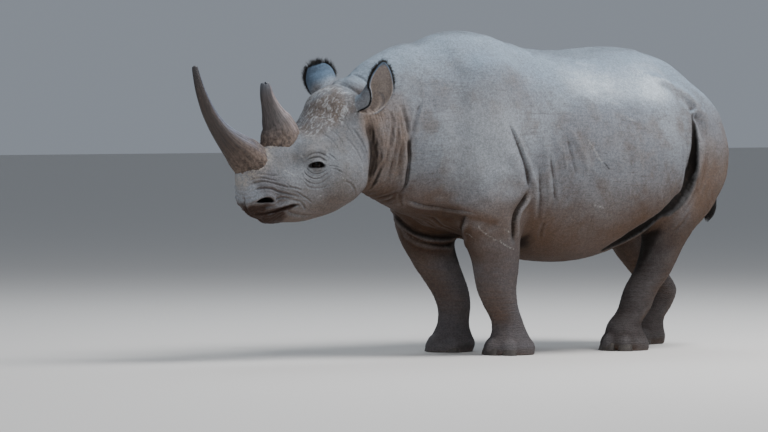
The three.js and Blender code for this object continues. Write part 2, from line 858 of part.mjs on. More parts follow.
function nails(leg) {
  const [, footY, footX] = STANCE[leg.name][1];
  const floor = slab(boxOf(-FAR, FAR, 0, FAR), -FAR, FAR);
  const reach = (leg.name.startsWith('front') ? FORE_LEG : HIND_LEG)[1][1] * FOOT_REACH;
  return NAILS.map(({ name, turn, width, height }) => {
    const angle = THREE.MathUtils.degToRad(turn * leg.side);
    const build = (grow) => {
      const { geometry } = egg([0, 0, 0], [width + grow, NAIL_DEPTH + grow, height + grow], NAIL_SIDES);
      geometry.rotateZ(angle);
      const [outX, outY] = [reach * Math.sin(angle), -reach * Math.cos(angle)];
      geometry.translate(footX + outX, footY + outY, height * NAIL_LEVEL);
      return solidOf(geometry).intersect(floor);
    };
    return { name, solid: build(0), pocket: build(GAP) };
  });
}

function addLeg(leg) {
  const front = leg.name.startsWith('front');
  const cut = front ? FORE_CUT : HIND_CUT;
  const [low, high] = front ? LEG_SPACES.front : LEG_SPACES.back;
  const [nearX, farX] = leg.side > 0 ? [low[0], high[0]] : [-high[0], -low[0]];
  const block = meshOf(flesh, [nearX, low[1], low[2]], [farX, high[1], high[2]], LEG_CELL);
  const whole = block.intersect(legSlab(cut, leg.side, 0));
  const knee = front ? KNEES.front : KNEES.back;
  const level = (z0, z1) => slab(boxOf(-FAR, FAR, z0, z1), -FAR, FAR);
  let foot = whole.intersect(level(0, ANKLE));
  for (const nail of nails(leg)) {
    foot = foot.subtract(nail.pocket);
    add(`nail_${leg.name}_${nail.name}`, nail.solid, nailPaint());
  }
  add(`leg_${leg.name}_upper`, whole.intersect(level(knee + GAP, FAR)), skinPaint());
  add(`leg_${leg.name}_lower`, whole.intersect(level(ANKLE + GAP, knee)), legPaint());
  add(`foot_${leg.name}`, foot, legPaint());
}

addHead();
addNeck();
addTrunkAndTail();
legs.forEach(addLeg);

// The origin lies on the floor, under the middle of the bounding box.
const bounds = new THREE.Box3().setFromObject(animal);
const middle = bounds.getCenter(new THREE.Vector3());
animal.position.set(-middle.x, -middle.y, -bounds.min.z);
const rhinoceros = new THREE.Group();
rhinoceros.add(animal);

export default rhinoceros;
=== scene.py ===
# %% [markdown]
# # A black rhinoceros, standing still
# This is a life-size, museum-like model of a grown animal. The packed solids give its
# size, and the pieces below dress them: one skin over head, neck, trunk and legs, and
# separate horns, eyes, nails, ear fringes and tail tuft. We load the frame first.

# %% The frame
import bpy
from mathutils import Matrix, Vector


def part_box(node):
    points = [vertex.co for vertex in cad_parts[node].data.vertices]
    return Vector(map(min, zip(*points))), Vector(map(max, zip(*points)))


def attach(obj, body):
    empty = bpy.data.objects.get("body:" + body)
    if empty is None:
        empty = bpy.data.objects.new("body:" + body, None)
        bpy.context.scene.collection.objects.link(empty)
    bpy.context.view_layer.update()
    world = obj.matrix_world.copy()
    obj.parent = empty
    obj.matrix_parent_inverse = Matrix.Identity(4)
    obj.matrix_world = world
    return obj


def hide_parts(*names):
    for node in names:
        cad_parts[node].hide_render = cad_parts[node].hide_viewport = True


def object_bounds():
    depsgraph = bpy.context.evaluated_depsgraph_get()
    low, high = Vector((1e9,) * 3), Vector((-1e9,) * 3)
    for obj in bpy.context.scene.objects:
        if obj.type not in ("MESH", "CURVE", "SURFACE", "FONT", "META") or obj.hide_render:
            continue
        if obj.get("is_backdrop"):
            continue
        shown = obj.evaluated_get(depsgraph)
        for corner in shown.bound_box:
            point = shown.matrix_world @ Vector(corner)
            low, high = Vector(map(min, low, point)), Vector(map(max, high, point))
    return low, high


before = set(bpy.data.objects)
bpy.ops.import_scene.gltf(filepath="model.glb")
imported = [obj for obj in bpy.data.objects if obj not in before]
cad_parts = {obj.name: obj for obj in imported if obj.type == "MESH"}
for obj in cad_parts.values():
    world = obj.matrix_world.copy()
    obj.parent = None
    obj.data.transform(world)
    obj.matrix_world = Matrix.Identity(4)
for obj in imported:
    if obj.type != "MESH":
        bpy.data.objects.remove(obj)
cad_low, cad_high = (tuple(corner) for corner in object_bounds())

import math
import bpy
import numpy as np
from mathutils import Vector
from mathutils.kdtree import KDTree

MM = 0.001  # metres in a millimetre
print("CAD box", [round(v, 3) for v in cad_low], [round(v, 3) for v in cad_high])

# %% [markdown]
# ## The plan of the animal
# A sculptor starts from an armature and a few large masses. Ours are tables in
# millimetres: place along the body, top, bottom, half width and the level of the widest
# place. The animal faces -Y, its left side is +X, and zero is on the floor between the
# fore feet. Numbers like these can be read off any side and front view of the animal.

# %% Body tables
BARREL = [
    (-250, 1552, 640, 345, 1030), (-80, 1560, 590, 395, 1010), (110, 1528, 512, 435, 985),
    (270, 1509, 461, 480, 965), (400, 1500, 445, 508, 950), (530, 1500, 450, 528, 945),
    (660, 1501, 477, 536, 950), (790, 1500, 525, 528, 965), (900, 1480, 590, 494, 990),
]
RUMP = [
    (560, 1475, 640, 270, 1080), (760, 1504, 620, 345, 1080), (900, 1510, 620, 388, 1075),
    (1010, 1488, 640, 402, 1060), (1120, 1456, 670, 386, 1040), (1220, 1380, 715, 334, 1020),
    (1300, 1278, 790, 258, 1000),
]
NECK = [
    (-860, 1310, 880, 158, 1110), (-790, 1368, 840, 180, 1100), (-700, 1436, 800, 208, 1085),
    (-600, 1485, 756, 236, 1070), (-500, 1520, 712, 266, 1055), (-400, 1533, 680, 300, 1045),
    (-290, 1566, 655, 332, 1030), (-145, 1585, 620, 350, 1010), (0, 1567, 600, 350, 1000),
    (120, 1526, 590, 340, 1000),
]
HEAD = [
    (-120, 224, -165, 136, 50), (-30, 242, -218, 154, 30), (60, 240, -262, 168, 0),
    (150, 190, -290, 180, -40), (240, 150, -292, 180, -55), (330, 150, -276, 162, -60),
    (440, 148, -242, 135, -58), (530, 138, -196, 118, -45), (590, 120, -156, 108, -28),
    (630, 100, -120, 90, -12),
]
# The head's tables run forward and up in its own frame, which is pitched down at the neck.
HEAD_PIVOT = (-830, 1085)
HEAD_PITCH = math.radians(27)
print("sections:", *(len(table) for table in (BARREL, RUMP, NECK, HEAD)))

# %% [markdown]
# ## The legs' tables
# A leg is a pillar, widest where it leaves the body and narrowest above the foot. Its shape
# is given by height, half depth and half width, and its stance by height and the place of
# its middle (y, x). Both fore legs share one shape, and each stands in its own way.

# %% Leg tables
FORE_LEG = [
    (0, 118, 112), (42, 122, 117), (90, 96, 96), (135, 80, 80), (185, 78, 76),
    (240, 84, 80), (310, 96, 90), (380, 109, 96), (460, 122, 102), (540, 141, 110),
    (640, 156, 124), (760, 174, 132),
]
HIND_LEG = [
    (0, 110, 104), (42, 115, 110), (90, 96, 94), (135, 84, 80), (185, 80, 76),
    (240, 84, 76), (300, 91, 80), (360, 98, 84), (430, 99, 90), (510, 106, 100),
    (590, 126, 118), (700, 174, 138), (850, 226, 148), (980, 238, 150),
]
STANCE = {
    "front_left": [
        (0, 32, 205), (90, 30, 205), (170, 12, 205), (240, -26, 207), (320, -55, 212),
        (460, -72, 222), (560, -98, 232), (760, -120, 240),
    ],
    "front_right": [
        (0, -32, -200), (90, -12, -202), (200, 2, -204), (270, -8, -206), (330, -34, -212),
        (440, -98, -222), (560, -146, -232), (760, -166, -240),
    ],
    "back_left": [
        (0, 765, 222), (70, 752, 222), (130, 750, 222), (200, 808, 222), (300, 858, 224),
        (390, 925, 228), (500, 978, 236), (620, 1025, 244), (740, 1074, 240),
        (860, 1130, 232), (980, 1140, 225),
    ],
    "back_right": [
        (0, 1235, -215), (70, 1240, -215), (130, 1268, -216), (200, 1330, -218),
        (280, 1350, -220), (360, 1288, -226), (440, 1218, -234), (540, 1158, -242),
        (680, 1130, -244), (860, 1135, -234), (980, 1140, -225),
    ],
}
print("stances:", *STANCE)

# %% [markdown]
# ## Tail, muscles and small parts
# The tail is a rope that thins (x, y, z, radius). Muscles swell the shoulder, haunch, cheek
# and brow. Each is an egg with a centre, half sizes and a tilt, mirrored to both sides. A
# sculptor adds them as pads of clay over the first masses.

# %% Tail and muscle tables
TAIL = [
    (0, 1230, 1300, 58), (0, 1300, 1284, 52), (0, 1366, 1254, 43), (4, 1414, 1206, 36),
    (14, 1445, 1138, 31), (30, 1462, 1056, 26), (48, 1468, 966, 22), (64, 1466, 880, 19),
    (75, 1460, 800, 16),
]
SHOULDER = ((262, -95, 1060), (150, 225, 400), -8)
OTHER_MUSCLES = [
    ((250, -130, 790), (142, 190, 210), -12),
    ((236, 1094, 925), (140, 272, 345), 14),
    ((194, 1164, 1050), (148, 188, 244), 10),
]
HEAD_MUSCLES = [
    ((112, 175, -110), (86, 150, 150), 0), ((108, 285, 62), (58, 92, 52), 0),
    ((84, 0, 150), (76, 90, 80), 0), ((58, 600, -22), (54, 62, 60), 0),
    ((96, 430, -30), (50, 120, 62), 0),
]
HEAD_MIDDLES = [  # the feet of the horns, the lip's point and the chin, on the mid-plane
    ((0, 545, 92), (84, 112, 88), 0), ((0, 404, 98), (80, 108, 86), 0),
    ((0, 646, -50), (44, 38, 50), 0), ((0, 545, -134), (58, 80, 44), 0),
]
# Eye and nostril: half way out, forward and up in the head's frame.
EYE_AT = (150, 312, 2)
EYE_RADIUS = 26
NOSTRIL_AT = (100, 620, -22)
print("muscles:", 1 + len(OTHER_MUSCLES) + len(HEAD_MUSCLES), "pairs")

# %% [markdown]
# ## The ears' tables
# Each ear has a side, a middle line from root to tip (given as for a left ear), the ways its
# opening faces, and its sections: place (0 to 1), half width, half opening of the tube in
# degrees, and depth as a share of width. Its hair has the places where it starts on the two
# edges, and its length at the tip. The ears listen in two directions, so they differ.

# %% Ear tables
EARS = {
    "left": {
        "side": 1,
        "line": [(88, -891, 1216), (128, -848, 1223), (165, -804, 1240), (197, -771, 1288),
                 (216, -764, 1355), (226, -763, 1413), (229, -764, 1435)],
        "faces": [(0.5, -0.3, -0.85), (0.8, 0.1, -0.6), (1, -0.02, -0.3), (0.99, -0.1, -0.15)],
        "sections": [(0, 46, 168, 1), (0.14, 50, 160, 1), (0.27, 60, 148, 0.95),
                     (0.4, 72, 132, 0.85), (0.52, 78, 112, 0.78), (0.64, 76, 97, 0.72),
                     (0.76, 66, 88, 0.62), (0.87, 48, 80, 0.55), (0.95, 28, 74, 0.5),
                     (1, 8, 70, 0.5)],
        "hair": (0.16, 0.6, 20),
    },
    "right": {
        "side": -1,
        "line": [(88, -869, 1239), (130, -850, 1278), (170, -836, 1322), (205, -825, 1370),
                 (222, -831, 1412), (228, -836, 1436)],
        "faces": [(0.74, 0.66, -0.1), (0.74, 0.66, -0.1)],
        "sections": [(0, 44, 168, 1), (0.12, 46, 160, 1), (0.24, 52, 142, 0.95),
                     (0.36, 62, 120, 0.85), (0.5, 71, 102, 0.75), (0.64, 74, 91, 0.65),
                     (0.77, 70, 83, 0.55), (0.88, 58, 76, 0.5), (0.96, 38, 72, 0.5),
                     (1, 14, 70, 0.5)],
        "hair": (0.38, 0.62, 24),
    },
}
EAR_WALL = 10
print("ears:", *EARS)

# %% [markdown]
# ## Forms as distances
# Each mass is a function that says how far a point lies outside it. Two masses run into
# each other through a smooth minimum, which rounds the valley between them as flesh does.

# %% Curves and round forms
def through(table, column):
    """A smooth curve through one column of a table, as a function of its first column."""
    rows = np.array(table, float)
    places, values = rows[:, 0], rows[:, column]
    before = np.r_[0, np.arange(len(rows) - 1)]
    after = np.r_[np.arange(1, len(rows)), len(rows) - 1]
    slopes = (values[after] - values[before]) / (places[after] - places[before])
    fine = np.linspace(places[0], places[-1], 300)
    i = np.clip(np.searchsorted(places, fine, side="right") - 1, 0, len(rows) - 2)
    span = places[i + 1] - places[i]
    s = (fine - places[i]) / span
    level = (2 * s**3 - 3 * s**2 + 1) * values[i] + (3 * s**2 - 2 * s**3) * values[i + 1]
    lean = (s**3 - 2 * s**2 + s) * slopes[i] + (s**3 - s**2) * slopes[i + 1]
    smooth = (level + span * lean).astype(np.float32)
    return lambda t: np.interp(t, fine, smooth).astype(np.float32)


def unit(ways):
    """The same directions with length 1, one in each row."""
    return ways / np.linalg.norm(ways, axis=1)[:, None]


def oval(across, upward, beyond, a, b, power):
    """Distance of a section with half sizes a and b, measured through its middle."""
    section = ((np.abs(across) / a) ** power + (np.abs(upward) / b) ** power) ** (1 / power)
    gauge = np.maximum(np.hypot(section, beyond), 1e-4)
    least = np.minimum(a, b)
    reach = np.sqrt(across**2 + upward**2 + (beyond * least) ** 2)
    return np.maximum(reach, 1e-3) * (1 - 1 / gauge)


def long_body(table, ends, square):
    """A body strung along sections; ends are its rounded lengths, square how boxy it is."""
    top, bottom, half, level = (through(table, column) for column in (1, 2, 3, 4))
    first, last = table[0][0], table[-1][0]

    def distance(x, t, h):
        middle = level(t)
        up = h > middle
        reach = np.where(up, top(t) - middle, middle - bottom(t))
        power = np.where(up, square[0], square[1]).astype(np.float32)
        beyond = np.maximum((first - t) / ends[0], 0) + np.maximum((t - last) / ends[1], 0)
        return oval(x, h - middle, beyond, half(t), reach, power)

    return distance


def leg_body(shape, stance):
    """A leg: its shape table stood on the middle line of its stance table."""
    depth, width = through(shape, 1), through(shape, 2)
    along_y, along_x = through(stance, 1), through(stance, 2)
    top = shape[-1][0]

    def distance(x, y, z):
        beyond = np.maximum(z - top, 0) / width(z)
        return oval(x - along_x(z), y - along_y(z), beyond, width(z), depth(z), 2.15)

    return distance


def round_mass(at, size, tilt):
    """An egg at a place, with three half sizes, tilted in the side view."""
    cos, sin = math.cos(math.radians(tilt)), math.sin(math.radians(tilt))

    def distance(x, y, z):
        dx, dy, dz = x - at[0], y - at[1], z - at[2]
        ry, rz = dy * cos - dz * sin, dy * sin + dz * cos
        gauge = np.sqrt((dx / size[0]) ** 2 + (ry / size[1]) ** 2 + (rz / size[2]) ** 2)
        reach = np.sqrt(dx * dx + dy * dy + dz * dz)
        return np.maximum(reach, 1e-3) * (1 - 1 / np.maximum(gauge, 1e-4))

    return distance


print("a ball of 10 mm, 15 mm from its middle:",
      round(float(round_mass((0, 0, 0), (10, 10, 10), 0)(15.0, 0.0, 0.0)), 1), "mm outside")

# %% [markdown]
# ## Joining and measuring
# Flesh has no sharp inner corners, so a union is melted and a cut is rounded. A ramp turns a
# place on the body into a share from 0 to 1, and the head gets a frame of its own.

# %% Unions, cuts, ramps and the head's frame
def melt(a, b, softness):
    """The union of two forms, with the valley between them rounded."""
    share = np.maximum(softness - np.abs(a - b), 0) / softness
    return np.minimum(a, b) - share * share * softness / 4


def carve(a, b, softness):
    """Form a with form b cut out of it; b is given as the distance outside b."""
    return -melt(-a, b, softness)


def ramp(value, start, end):
    """0 before start, 1 after end, smooth between."""
    s = np.clip((value - start) / (end - start), 0, 1)
    return s * s * (3 - 2 * s)


def bump_at(value, centre, width):
    """1 at a centre, falling to 0 on both sides."""
    return np.exp(-(((value - centre) / width) ** 2))


def to_head(y, z):
    """From the body's y and z to the head's forward and up."""
    cos, sin = math.cos(HEAD_PITCH), math.sin(HEAD_PITCH)
    dy, dz = y - HEAD_PIVOT[0], z - HEAD_PIVOT[1]
    return -dy * cos - dz * sin, -dy * sin + dz * cos


def from_head(u, v):
    """Back from the head's forward and up to y and z."""
    cos, sin = math.cos(HEAD_PITCH), math.sin(HEAD_PITCH)
    return HEAD_PIVOT[0] - u * cos - v * sin, HEAD_PIVOT[1] - u * sin + v * cos


print("a ramp from 0 to 1 at its quarters:", ramp(np.array([0.25, 0.5, 0.75]), 0, 1))

# %% [markdown]
# ## The great masses
# Barrel, rump, neck, skull and legs, each from its table. The numbers give how far each
# form's ends are rounded, and how square its sections are above and below.

# %% Masses
barrel = long_body(BARREL, (150, 140), (1.95, 2.35))
rump = long_body(RUMP, (120, 82), (1.9, 2.2))
neck = long_body(NECK, (120, 200), (1.95, 2.1))
skull = long_body(HEAD, (90, 38), (2.2, 2.3))
shoulder = round_mass(*SHOULDER)
other_muscles = [round_mass(*muscle) for muscle in OTHER_MUSCLES]
head_muscles = [round_mass(*muscle) for muscle in HEAD_MUSCLES]
head_middles = [round_mass(*mass) for mass in HEAD_MIDDLES]
legs = {
    name: leg_body(FORE_LEG if name.startswith("front") else HIND_LEG, stance)
    for name, stance in STANCE.items()
}
print("masses ready:", 4 + len(legs), "long bodies")

# %% [markdown]
# ## The head's openings
# The eye lies under lids that leave an almond slit. The nostril is a bent slit with a raised
# rim. A sculptor models the mound first and then cuts the opening, and so do we.

# %% Eye sockets, nostrils and head
def turned(du, dv, degrees):
    """A step in the head's frame, seen along and across a slanting line."""
    cos, sin = math.cos(math.radians(degrees)), math.sin(math.radians(degrees))
    return du * cos + dv * sin, dv * cos - du * sin


def eye_slit(u, v):
    """0 on the edge of the almond between the lids, 1 as far out again."""
    along, lift = turned(u - EYE_AT[1] - 4, v - EYE_AT[2], 27)
    lift = lift + 0.0035 * along**2 - 1
    return np.sqrt((along / 36) ** 2 + (lift / 14) ** 2) - 1


def eye_socket(x, u, v, d):
    """A low mound of lids round each eye, opened by an almond slit that shows the eye."""
    x = np.abs(x)
    ball = np.sqrt((x - EYE_AT[0]) ** 2 + (u - EYE_AT[1]) ** 2 + (v - EYE_AT[2]) ** 2)
    d = melt(d, ball - (EYE_RADIUS + 7), 16)
    opening = np.where(x > EYE_AT[0] - 4, eye_slit(u, v) * 14, 40.0)
    return carve(d, np.maximum(opening, EYE_RADIUS - 4 - ball), 5)


def comma(u, v, along_half, up_half):
    """0 on the edge of a bent oval round the nostril, below 0 inside it."""
    along, up = turned(u - NOSTRIL_AT[1], v - NOSTRIL_AT[2], 26)
    up = up + 5 + 0.006 * along * along
    return np.sqrt((along / along_half) ** 2 + (up / up_half) ** 2) - 1


def nostril(x, u, v, d):
    """A raised comma-shaped rim and the dark slit inside it."""
    x = np.abs(x)
    d = melt(d, np.maximum(comma(u, v, 47, 27) * 24, d - 4), 14)
    return carve(d, np.where(x > 40, np.maximum(comma(u, v, 35, 12) * 11, 70 - x), 40.0), 6)


def head_form(x, y, z, fine=True):
    """Skull, cheeks and brow; with its openings where fine work is wanted."""
    u, v = to_head(y, z)
    d = skull(x, u, v)
    for muscle in head_muscles:
        d = melt(d, muscle(np.abs(x), u, v), 34)
    for mass in head_middles:
        d = melt(d, mass(x, u, v), 34)
    if fine:
        d = eye_socket(x, u, v, d)
        d = nostril(x, u, v, d)
    return d


print("slit at the eye's middle:", round(float(eye_slit(EYE_AT[1], EYE_AT[2])), 2))

# %% [markdown]
# ## Trunk, folds and ropes
# The barrel hangs in front of the thigh. Over the hip the two run together softly, but below
# it a deep crescent of shadow is pinched between them. The crescent and the tail are ropes:
# balls on a smooth line. The crescent is cut away and the tail is added.

# %% Trunk, tail and crescents
def trunk_form(x, y, z):
    """Neck, shoulder, rump and muscles, with the barrel against them."""
    d = melt(neck(x, y, z), shoulder(np.abs(x), y, z), 90)
    d = melt(rump(x, y, z), d, 110)
    for muscle in other_muscles:
        d = melt(d, muscle(np.abs(x), y, z), 90)
    belly = barrel(x, y, z)
    sharp = (1 - ramp(z, 980, 1230)) * ramp(y, 560, 700)
    return melt(d, belly, 70 - 60 * sharp)


def smooth_line(points, count):
    """A smooth curve (Catmull-Rom) through points, as that many places on it."""
    points = np.array(points, float)
    padded = np.vstack([2 * points[0] - points[1], points, 2 * points[-1] - points[-2]])
    t = np.linspace(0, len(points) - 1, count)
    i = np.minimum(t.astype(int), len(points) - 2)
    s = (t - i)[:, None]
    p0, p1, p2, p3 = (padded[i + n] for n in range(4))
    return 0.5 * (2 * p1 + (p2 - p0) * s + (2 * p0 - 5 * p1 + 4 * p2 - p3) * s**2
                  + (3 * p1 - p0 - 3 * p2 + p3) * s**3)


def rope(x, y, z, line):
    """Distance from a rope given by places and radii: the nearest short length counts."""
    best = np.full_like(y, 400)
    for (x0, y0, z0, r0), (x1, y1, z1, r1) in zip(line[:-1], line[1:]):
        ax, ay, az = x1 - x0, y1 - y0, z1 - z0
        t = ((x - x0) * ax + (y - y0) * ay + (z - z0) * az) / (ax * ax + ay * ay + az * az)
        t = np.clip(t, 0, 1)
        d = np.sqrt((x - x0 - t * ax) ** 2 + (y - y0 - t * ay) ** 2 + (z - z0 - t * az) ** 2)
        best = np.minimum(best, d - (r0 + t * (r1 - r0)))
    return best


TAIL_ROPE = smooth_line(TAIL, 22)
CRESCENTS = {
    1: smooth_line([(388, 1064, 1200, 4), (394, 1060, 1130, 12), (397, 1054, 1045, 20),
                    (396, 1046, 960, 29), (394, 1032, 872, 40), (404, 984, 790, 50),
                    (408, 908, 712, 58), (404, 814, 648, 62), (384, 714, 590, 64),
                    (340, 634, 536, 58), (300, 590, 490, 40)], 30),
    # On the right the leg is drawn back, and only the upper part shows.
    -1: smooth_line([(394, 1062, 1180, 3), (400, 1058, 1110, 8), (402, 1052, 1040, 13),
                     (402, 1044, 960, 17), (398, 1024, 880, 18), (390, 980, 805, 13),
                     (378, 930, 750, 3)], 22),
}
print("ropes of", len(TAIL_ROPE), "and", *(len(line) for line in CRESCENTS.values()), "balls")

# %% [markdown]
# ## The run of an ear
# An ear is a tube that opens into a cup. At any place along it we need its middle, the way it
# faces, and the size of its section. Its inside is also a rope, which is cut out of the head.

# %% Ear frames
def ear_frame(name, place):
    """Middle, directions along, across and facing, and section of an ear at places 0..1."""
    ear = EARS[name]
    curve = smooth_line(ear["line"], 400)
    lengths = np.r_[0, np.cumsum(np.linalg.norm(np.diff(curve, axis=0), axis=1))]
    lengths /= lengths[-1]

    def mixed(share, shares, table):
        return np.stack([np.interp(share, shares, table[:, a]) for a in range(3)], -1)

    along = (mixed(np.minimum(place + 0.01, 1), lengths, curve)
             - mixed(np.maximum(place - 0.01, 0), lengths, curve))
    along = unit(along)
    ways = np.array(ear["faces"], float)
    facing = mixed(place, np.linspace(0, 1, len(ways)), ways)
    facing -= along * (facing * along).sum(1)[:, None]
    facing = unit(facing)
    half, opening, flat = (through(ear["sections"], n)(place) for n in (1, 2, 3))
    return (mixed(place, lengths, curve), along, np.cross(along, facing), facing, half,
            np.radians(opening), flat)


def ear_hollow(name):
    """The inside of an ear's tube and cup, as a rope of balls."""
    place = np.linspace(0.12, 0.8, 10)
    centre, _, _, _, half, _, flat = ear_frame(name, place)
    radius = (half - EAR_WALL - 3) * flat * 0.94
    return np.column_stack([centre * (EARS[name]["side"], 1, 1), radius])


EAR_HOLLOWS = [ear_hollow(name) for name in EARS]
print("ear hollows of", *(len(hollow) for hollow in EAR_HOLLOWS), "balls")

# %% [markdown]
# ## Toes
# The foot has three toes, and each ends in a nail that carries the edge of the foot. We work
# out where the nails stand, and put an egg of flesh behind each.

# %% Toe places
TOE_TURNS = {"inner": (-52, 36, 52), "middle": (0, 50, 60), "outer": (52, 36, 52)}


def toe_places(name):
    """For each nail of a foot: its name, its middle on the floor, its way out, its size."""
    side = 1 if name.endswith("left") else -1
    _, foot_y, foot_x = STANCE[name][1]
    reach = (FORE_LEG if name.startswith("front") else HIND_LEG)[1][1] * 0.93
    for toe, (turn, width, height) in TOE_TURNS.items():
        angle = math.radians(turn * side)
        out = np.array([math.sin(angle), -math.cos(angle)])
        yield toe, np.array([foot_x, foot_y]) + reach * out, out, width, height


toes = []
for foot in STANCE:
    for _, place, out, width, height in toe_places(foot):
        middle = place - 20 * out
        bulge = 26 + 0.36 * width
        toes.append((foot, round_mass((*middle, 30), (bulge, bulge, height), 0)))
print("toes:", len(toes))

# %% [markdown]
# ## One form for the whole animal
# All the forms melt into one. Toes, tail, head and openings are worked out only where they
# are, because a form that is far away changes nothing and costs time.

# %% The flesh
FAR = 400  # millimetres; a form this far away changes nothing
SOFT = {"legs": 60, "crescents": 9, "toes": 14, "tail": 46, "head": 60, "ears": 6}


def flesh(points, fine=True):
    """Distance of points (one per row, in millimetres) from the animal's surface."""
    x, y, z = (np.ascontiguousarray(points[:, axis], dtype=np.float32) for axis in range(3))
    d = trunk_form(x, y, z)
    for name, leg in legs.items():
        side = 1 if name.endswith("left") else -1
        near = np.where(x * side > 0, leg(x, y, z), np.float32(FAR))
        d = melt(d, near, SOFT["legs"])
    at = (y > 520) & (y < 1130) & (z > 430) & (z < 1230)
    if at.any():
        for side, line in CRESCENTS.items():
            near = np.where(x[at] * side > 0, rope(np.abs(x[at]), y[at], z[at], line), FAR)
            d[at] = carve(d[at], near, SOFT["crescents"])
    at = z < 190
    if at.any():
        foot = d[at]
        for _, toe in toes:
            foot = melt(foot, toe(x[at], y[at], z[at]), SOFT["toes"])
        d[at] = foot
    at = y > 1150
    if at.any():
        d[at] = melt(d[at], rope(x[at], y[at], z[at], TAIL_ROPE), SOFT["tail"])
    head = np.full_like(d, FAR)
    at = y < -500
    if at.any():
        head[at] = head_form(x[at], y[at], z[at], fine)
    d = melt(d, head, SOFT["head"])
    at = (y < -640) & (z > 1140)
    if at.any():
        for hollow in EAR_HOLLOWS:
            d[at] = carve(d[at], rope(x[at], y[at], z[at], hollow), SOFT["ears"])
    return d


def plain_flesh(points):
    """The flesh without the head's openings."""
    return flesh(points, fine=False)


def in_parts(form, points, size=400000):
    """A form's distances at many points, some at a time to save memory."""
    parts = [form(points[i:i + size]) for i in range(0, len(points), size)]
    return np.concatenate(parts) if parts else np.zeros(0, np.float32)


print("depth inside the barrel:", flesh(np.array([[0.0, 500.0, 950.0]])).round(1), "mm")

# %% [markdown]
# ## From form to mesh
# We lay a grid over the animal, find every small cube that the surface crosses, put one
# point in it and pull that point onto the surface. Only blocks near the surface are
# worked out. Then the mesh is split finer where the animal needs finer work.

# %% A net over a form
CORNERS = [(i, j, k) for i in (0, 1) for j in (0, 1) for k in (0, 1)]


def surface_mesh(form, low, high, cell, block=4):
    """Points and triangles of the surface of a form, on a grid of cubes."""
    blocks = np.ceil((np.array(high) - low) / (cell * block)).astype(int)
    count = blocks * block + 1
    axes = [low[a] + cell * np.arange(count[a], dtype=np.float32) for a in range(3)]
    # First roughly, at the corners of blocks; then finely, in the blocks near the surface.
    grid = np.stack(np.meshgrid(*(axis[::block] for axis in axes), indexing="ij"), -1)
    rough = in_parts(form, grid.reshape(-1, 3)).reshape(blocks + 1)

    def shifted(array, size, i, j, k):
        return array[i:i + size[0], j:j + size[1], k:k + size[2]]

    def spread(array):
        return array.repeat(block, 0).repeat(block, 1).repeat(block, 2)

    closest = np.min([np.abs(shifted(rough, blocks, *c)) for c in CORNERS], axis=0)
    near = spread(closest < 1.7 * block * cell)
    needed = np.zeros(count, bool)
    for corner in CORNERS:
        shifted(needed, count - 1, *corner)[...] |= near
    values = np.ascontiguousarray(shifted(spread(rough), count, 0, 0, 0))
    place = np.nonzero(needed)
    values[place] = in_parts(form, np.stack([axes[a][place[a]] for a in range(3)], -1))
    inside = values < 0

    # One point in each cube that the surface crosses, at the mean of its crossings.
    cells = tuple(count - 1)
    sides = [shifted(inside, cells, *corner) for corner in CORNERS]
    crossed = np.nonzero(np.any(sides, axis=0) & ~np.all(sides, axis=0))
    ids = np.full(cells, -1, np.int32)
    ids[crossed] = np.arange(len(crossed[0]), dtype=np.int32)
    total = np.zeros((len(crossed[0]), 3))
    hits = np.zeros(len(crossed[0]))
    at = {c: values[crossed[0] + c[0], crossed[1] + c[1], crossed[2] + c[2]] for c in CORNERS}
    for a in CORNERS:
        for axis in range(3):
            if a[axis]:
                continue
            b = tuple(1 if n == axis else a[n] for n in range(3))
            mixed = (at[a] < 0) != (at[b] < 0)
            share = np.where(mixed, at[a] / np.where(mixed, at[a] - at[b], 1), 0)
            crossing = np.tile(np.array(a, float), (len(share), 1))
            crossing[:, axis] += share
            total += crossing * mixed[:, None]
            hits += mixed
    base = np.stack([axes[a][crossed[a]] for a in range(3)], -1)
    points = base + cell * total / hits[:, None]

    # Four cubes meet at each edge that the surface crosses, and make two triangles.
    quads = []
    for axis in range(3):
        b, c = (axis + 1) % 3, (axis + 2) % 3
        first = [slice(None)] * 3
        second = [slice(None)] * 3
        first[axis], second[axis] = slice(0, -1), slice(1, None)
        change = inside[tuple(first)] != inside[tuple(second)]
        edge = np.stack(np.nonzero(change), -1)
        ok = ((edge[:, b] > 0) & (edge[:, c] > 0)
              & (edge[:, b] < cells[b]) & (edge[:, c] < cells[c]))
        edge = edge[ok]
        ring = []
        for m, n in ((1, 1), (0, 1), (0, 0), (1, 0)):
            here = edge.copy()
            here[:, b] -= m
            here[:, c] -= n
            ring.append(ids[here[:, 0], here[:, 1], here[:, 2]])
        ring = np.stack(ring, -1)
        outward = inside[edge[:, 0], edge[:, 1], edge[:, 2]]
        quads.append(np.where(outward[:, None], ring, ring[:, ::-1]))
    quads = np.concatenate(quads)
    short = (np.linalg.norm(points[quads[:, 0]] - points[quads[:, 2]], axis=1)
             < np.linalg.norm(points[quads[:, 1]] - points[quads[:, 3]], axis=1))
    one = np.where(short[:, None], quads[:, [0, 1, 2]], quads[:, [0, 1, 3]])
    two = np.where(short[:, None], quads[:, [0, 2, 3]], quads[:, [1, 2, 3]])
    return points, np.concatenate([one, two]).astype(np.int64)


print("corners of a cube:", len(CORNERS))

# %% [markdown]
# ## Finishing a net
# A net is pulled onto its form along the form's slope. Where the head needs finer work, long
# edges are split in the middle. Relaxing moves each point towards its neighbours, as a thumb
# smooths clay.

# %% Pulling, splitting and smoothing
def slope_of(form, points, step=1.0):
    """A form's distances at points, and how they change along each axis."""
    centre = in_parts(form, points)
    slope = np.empty_like(points)
    for axis in range(3):
        moved = points.copy()
        moved[:, axis] += step
        slope[:, axis] = (in_parts(form, moved) - centre) / step
    return centre, slope


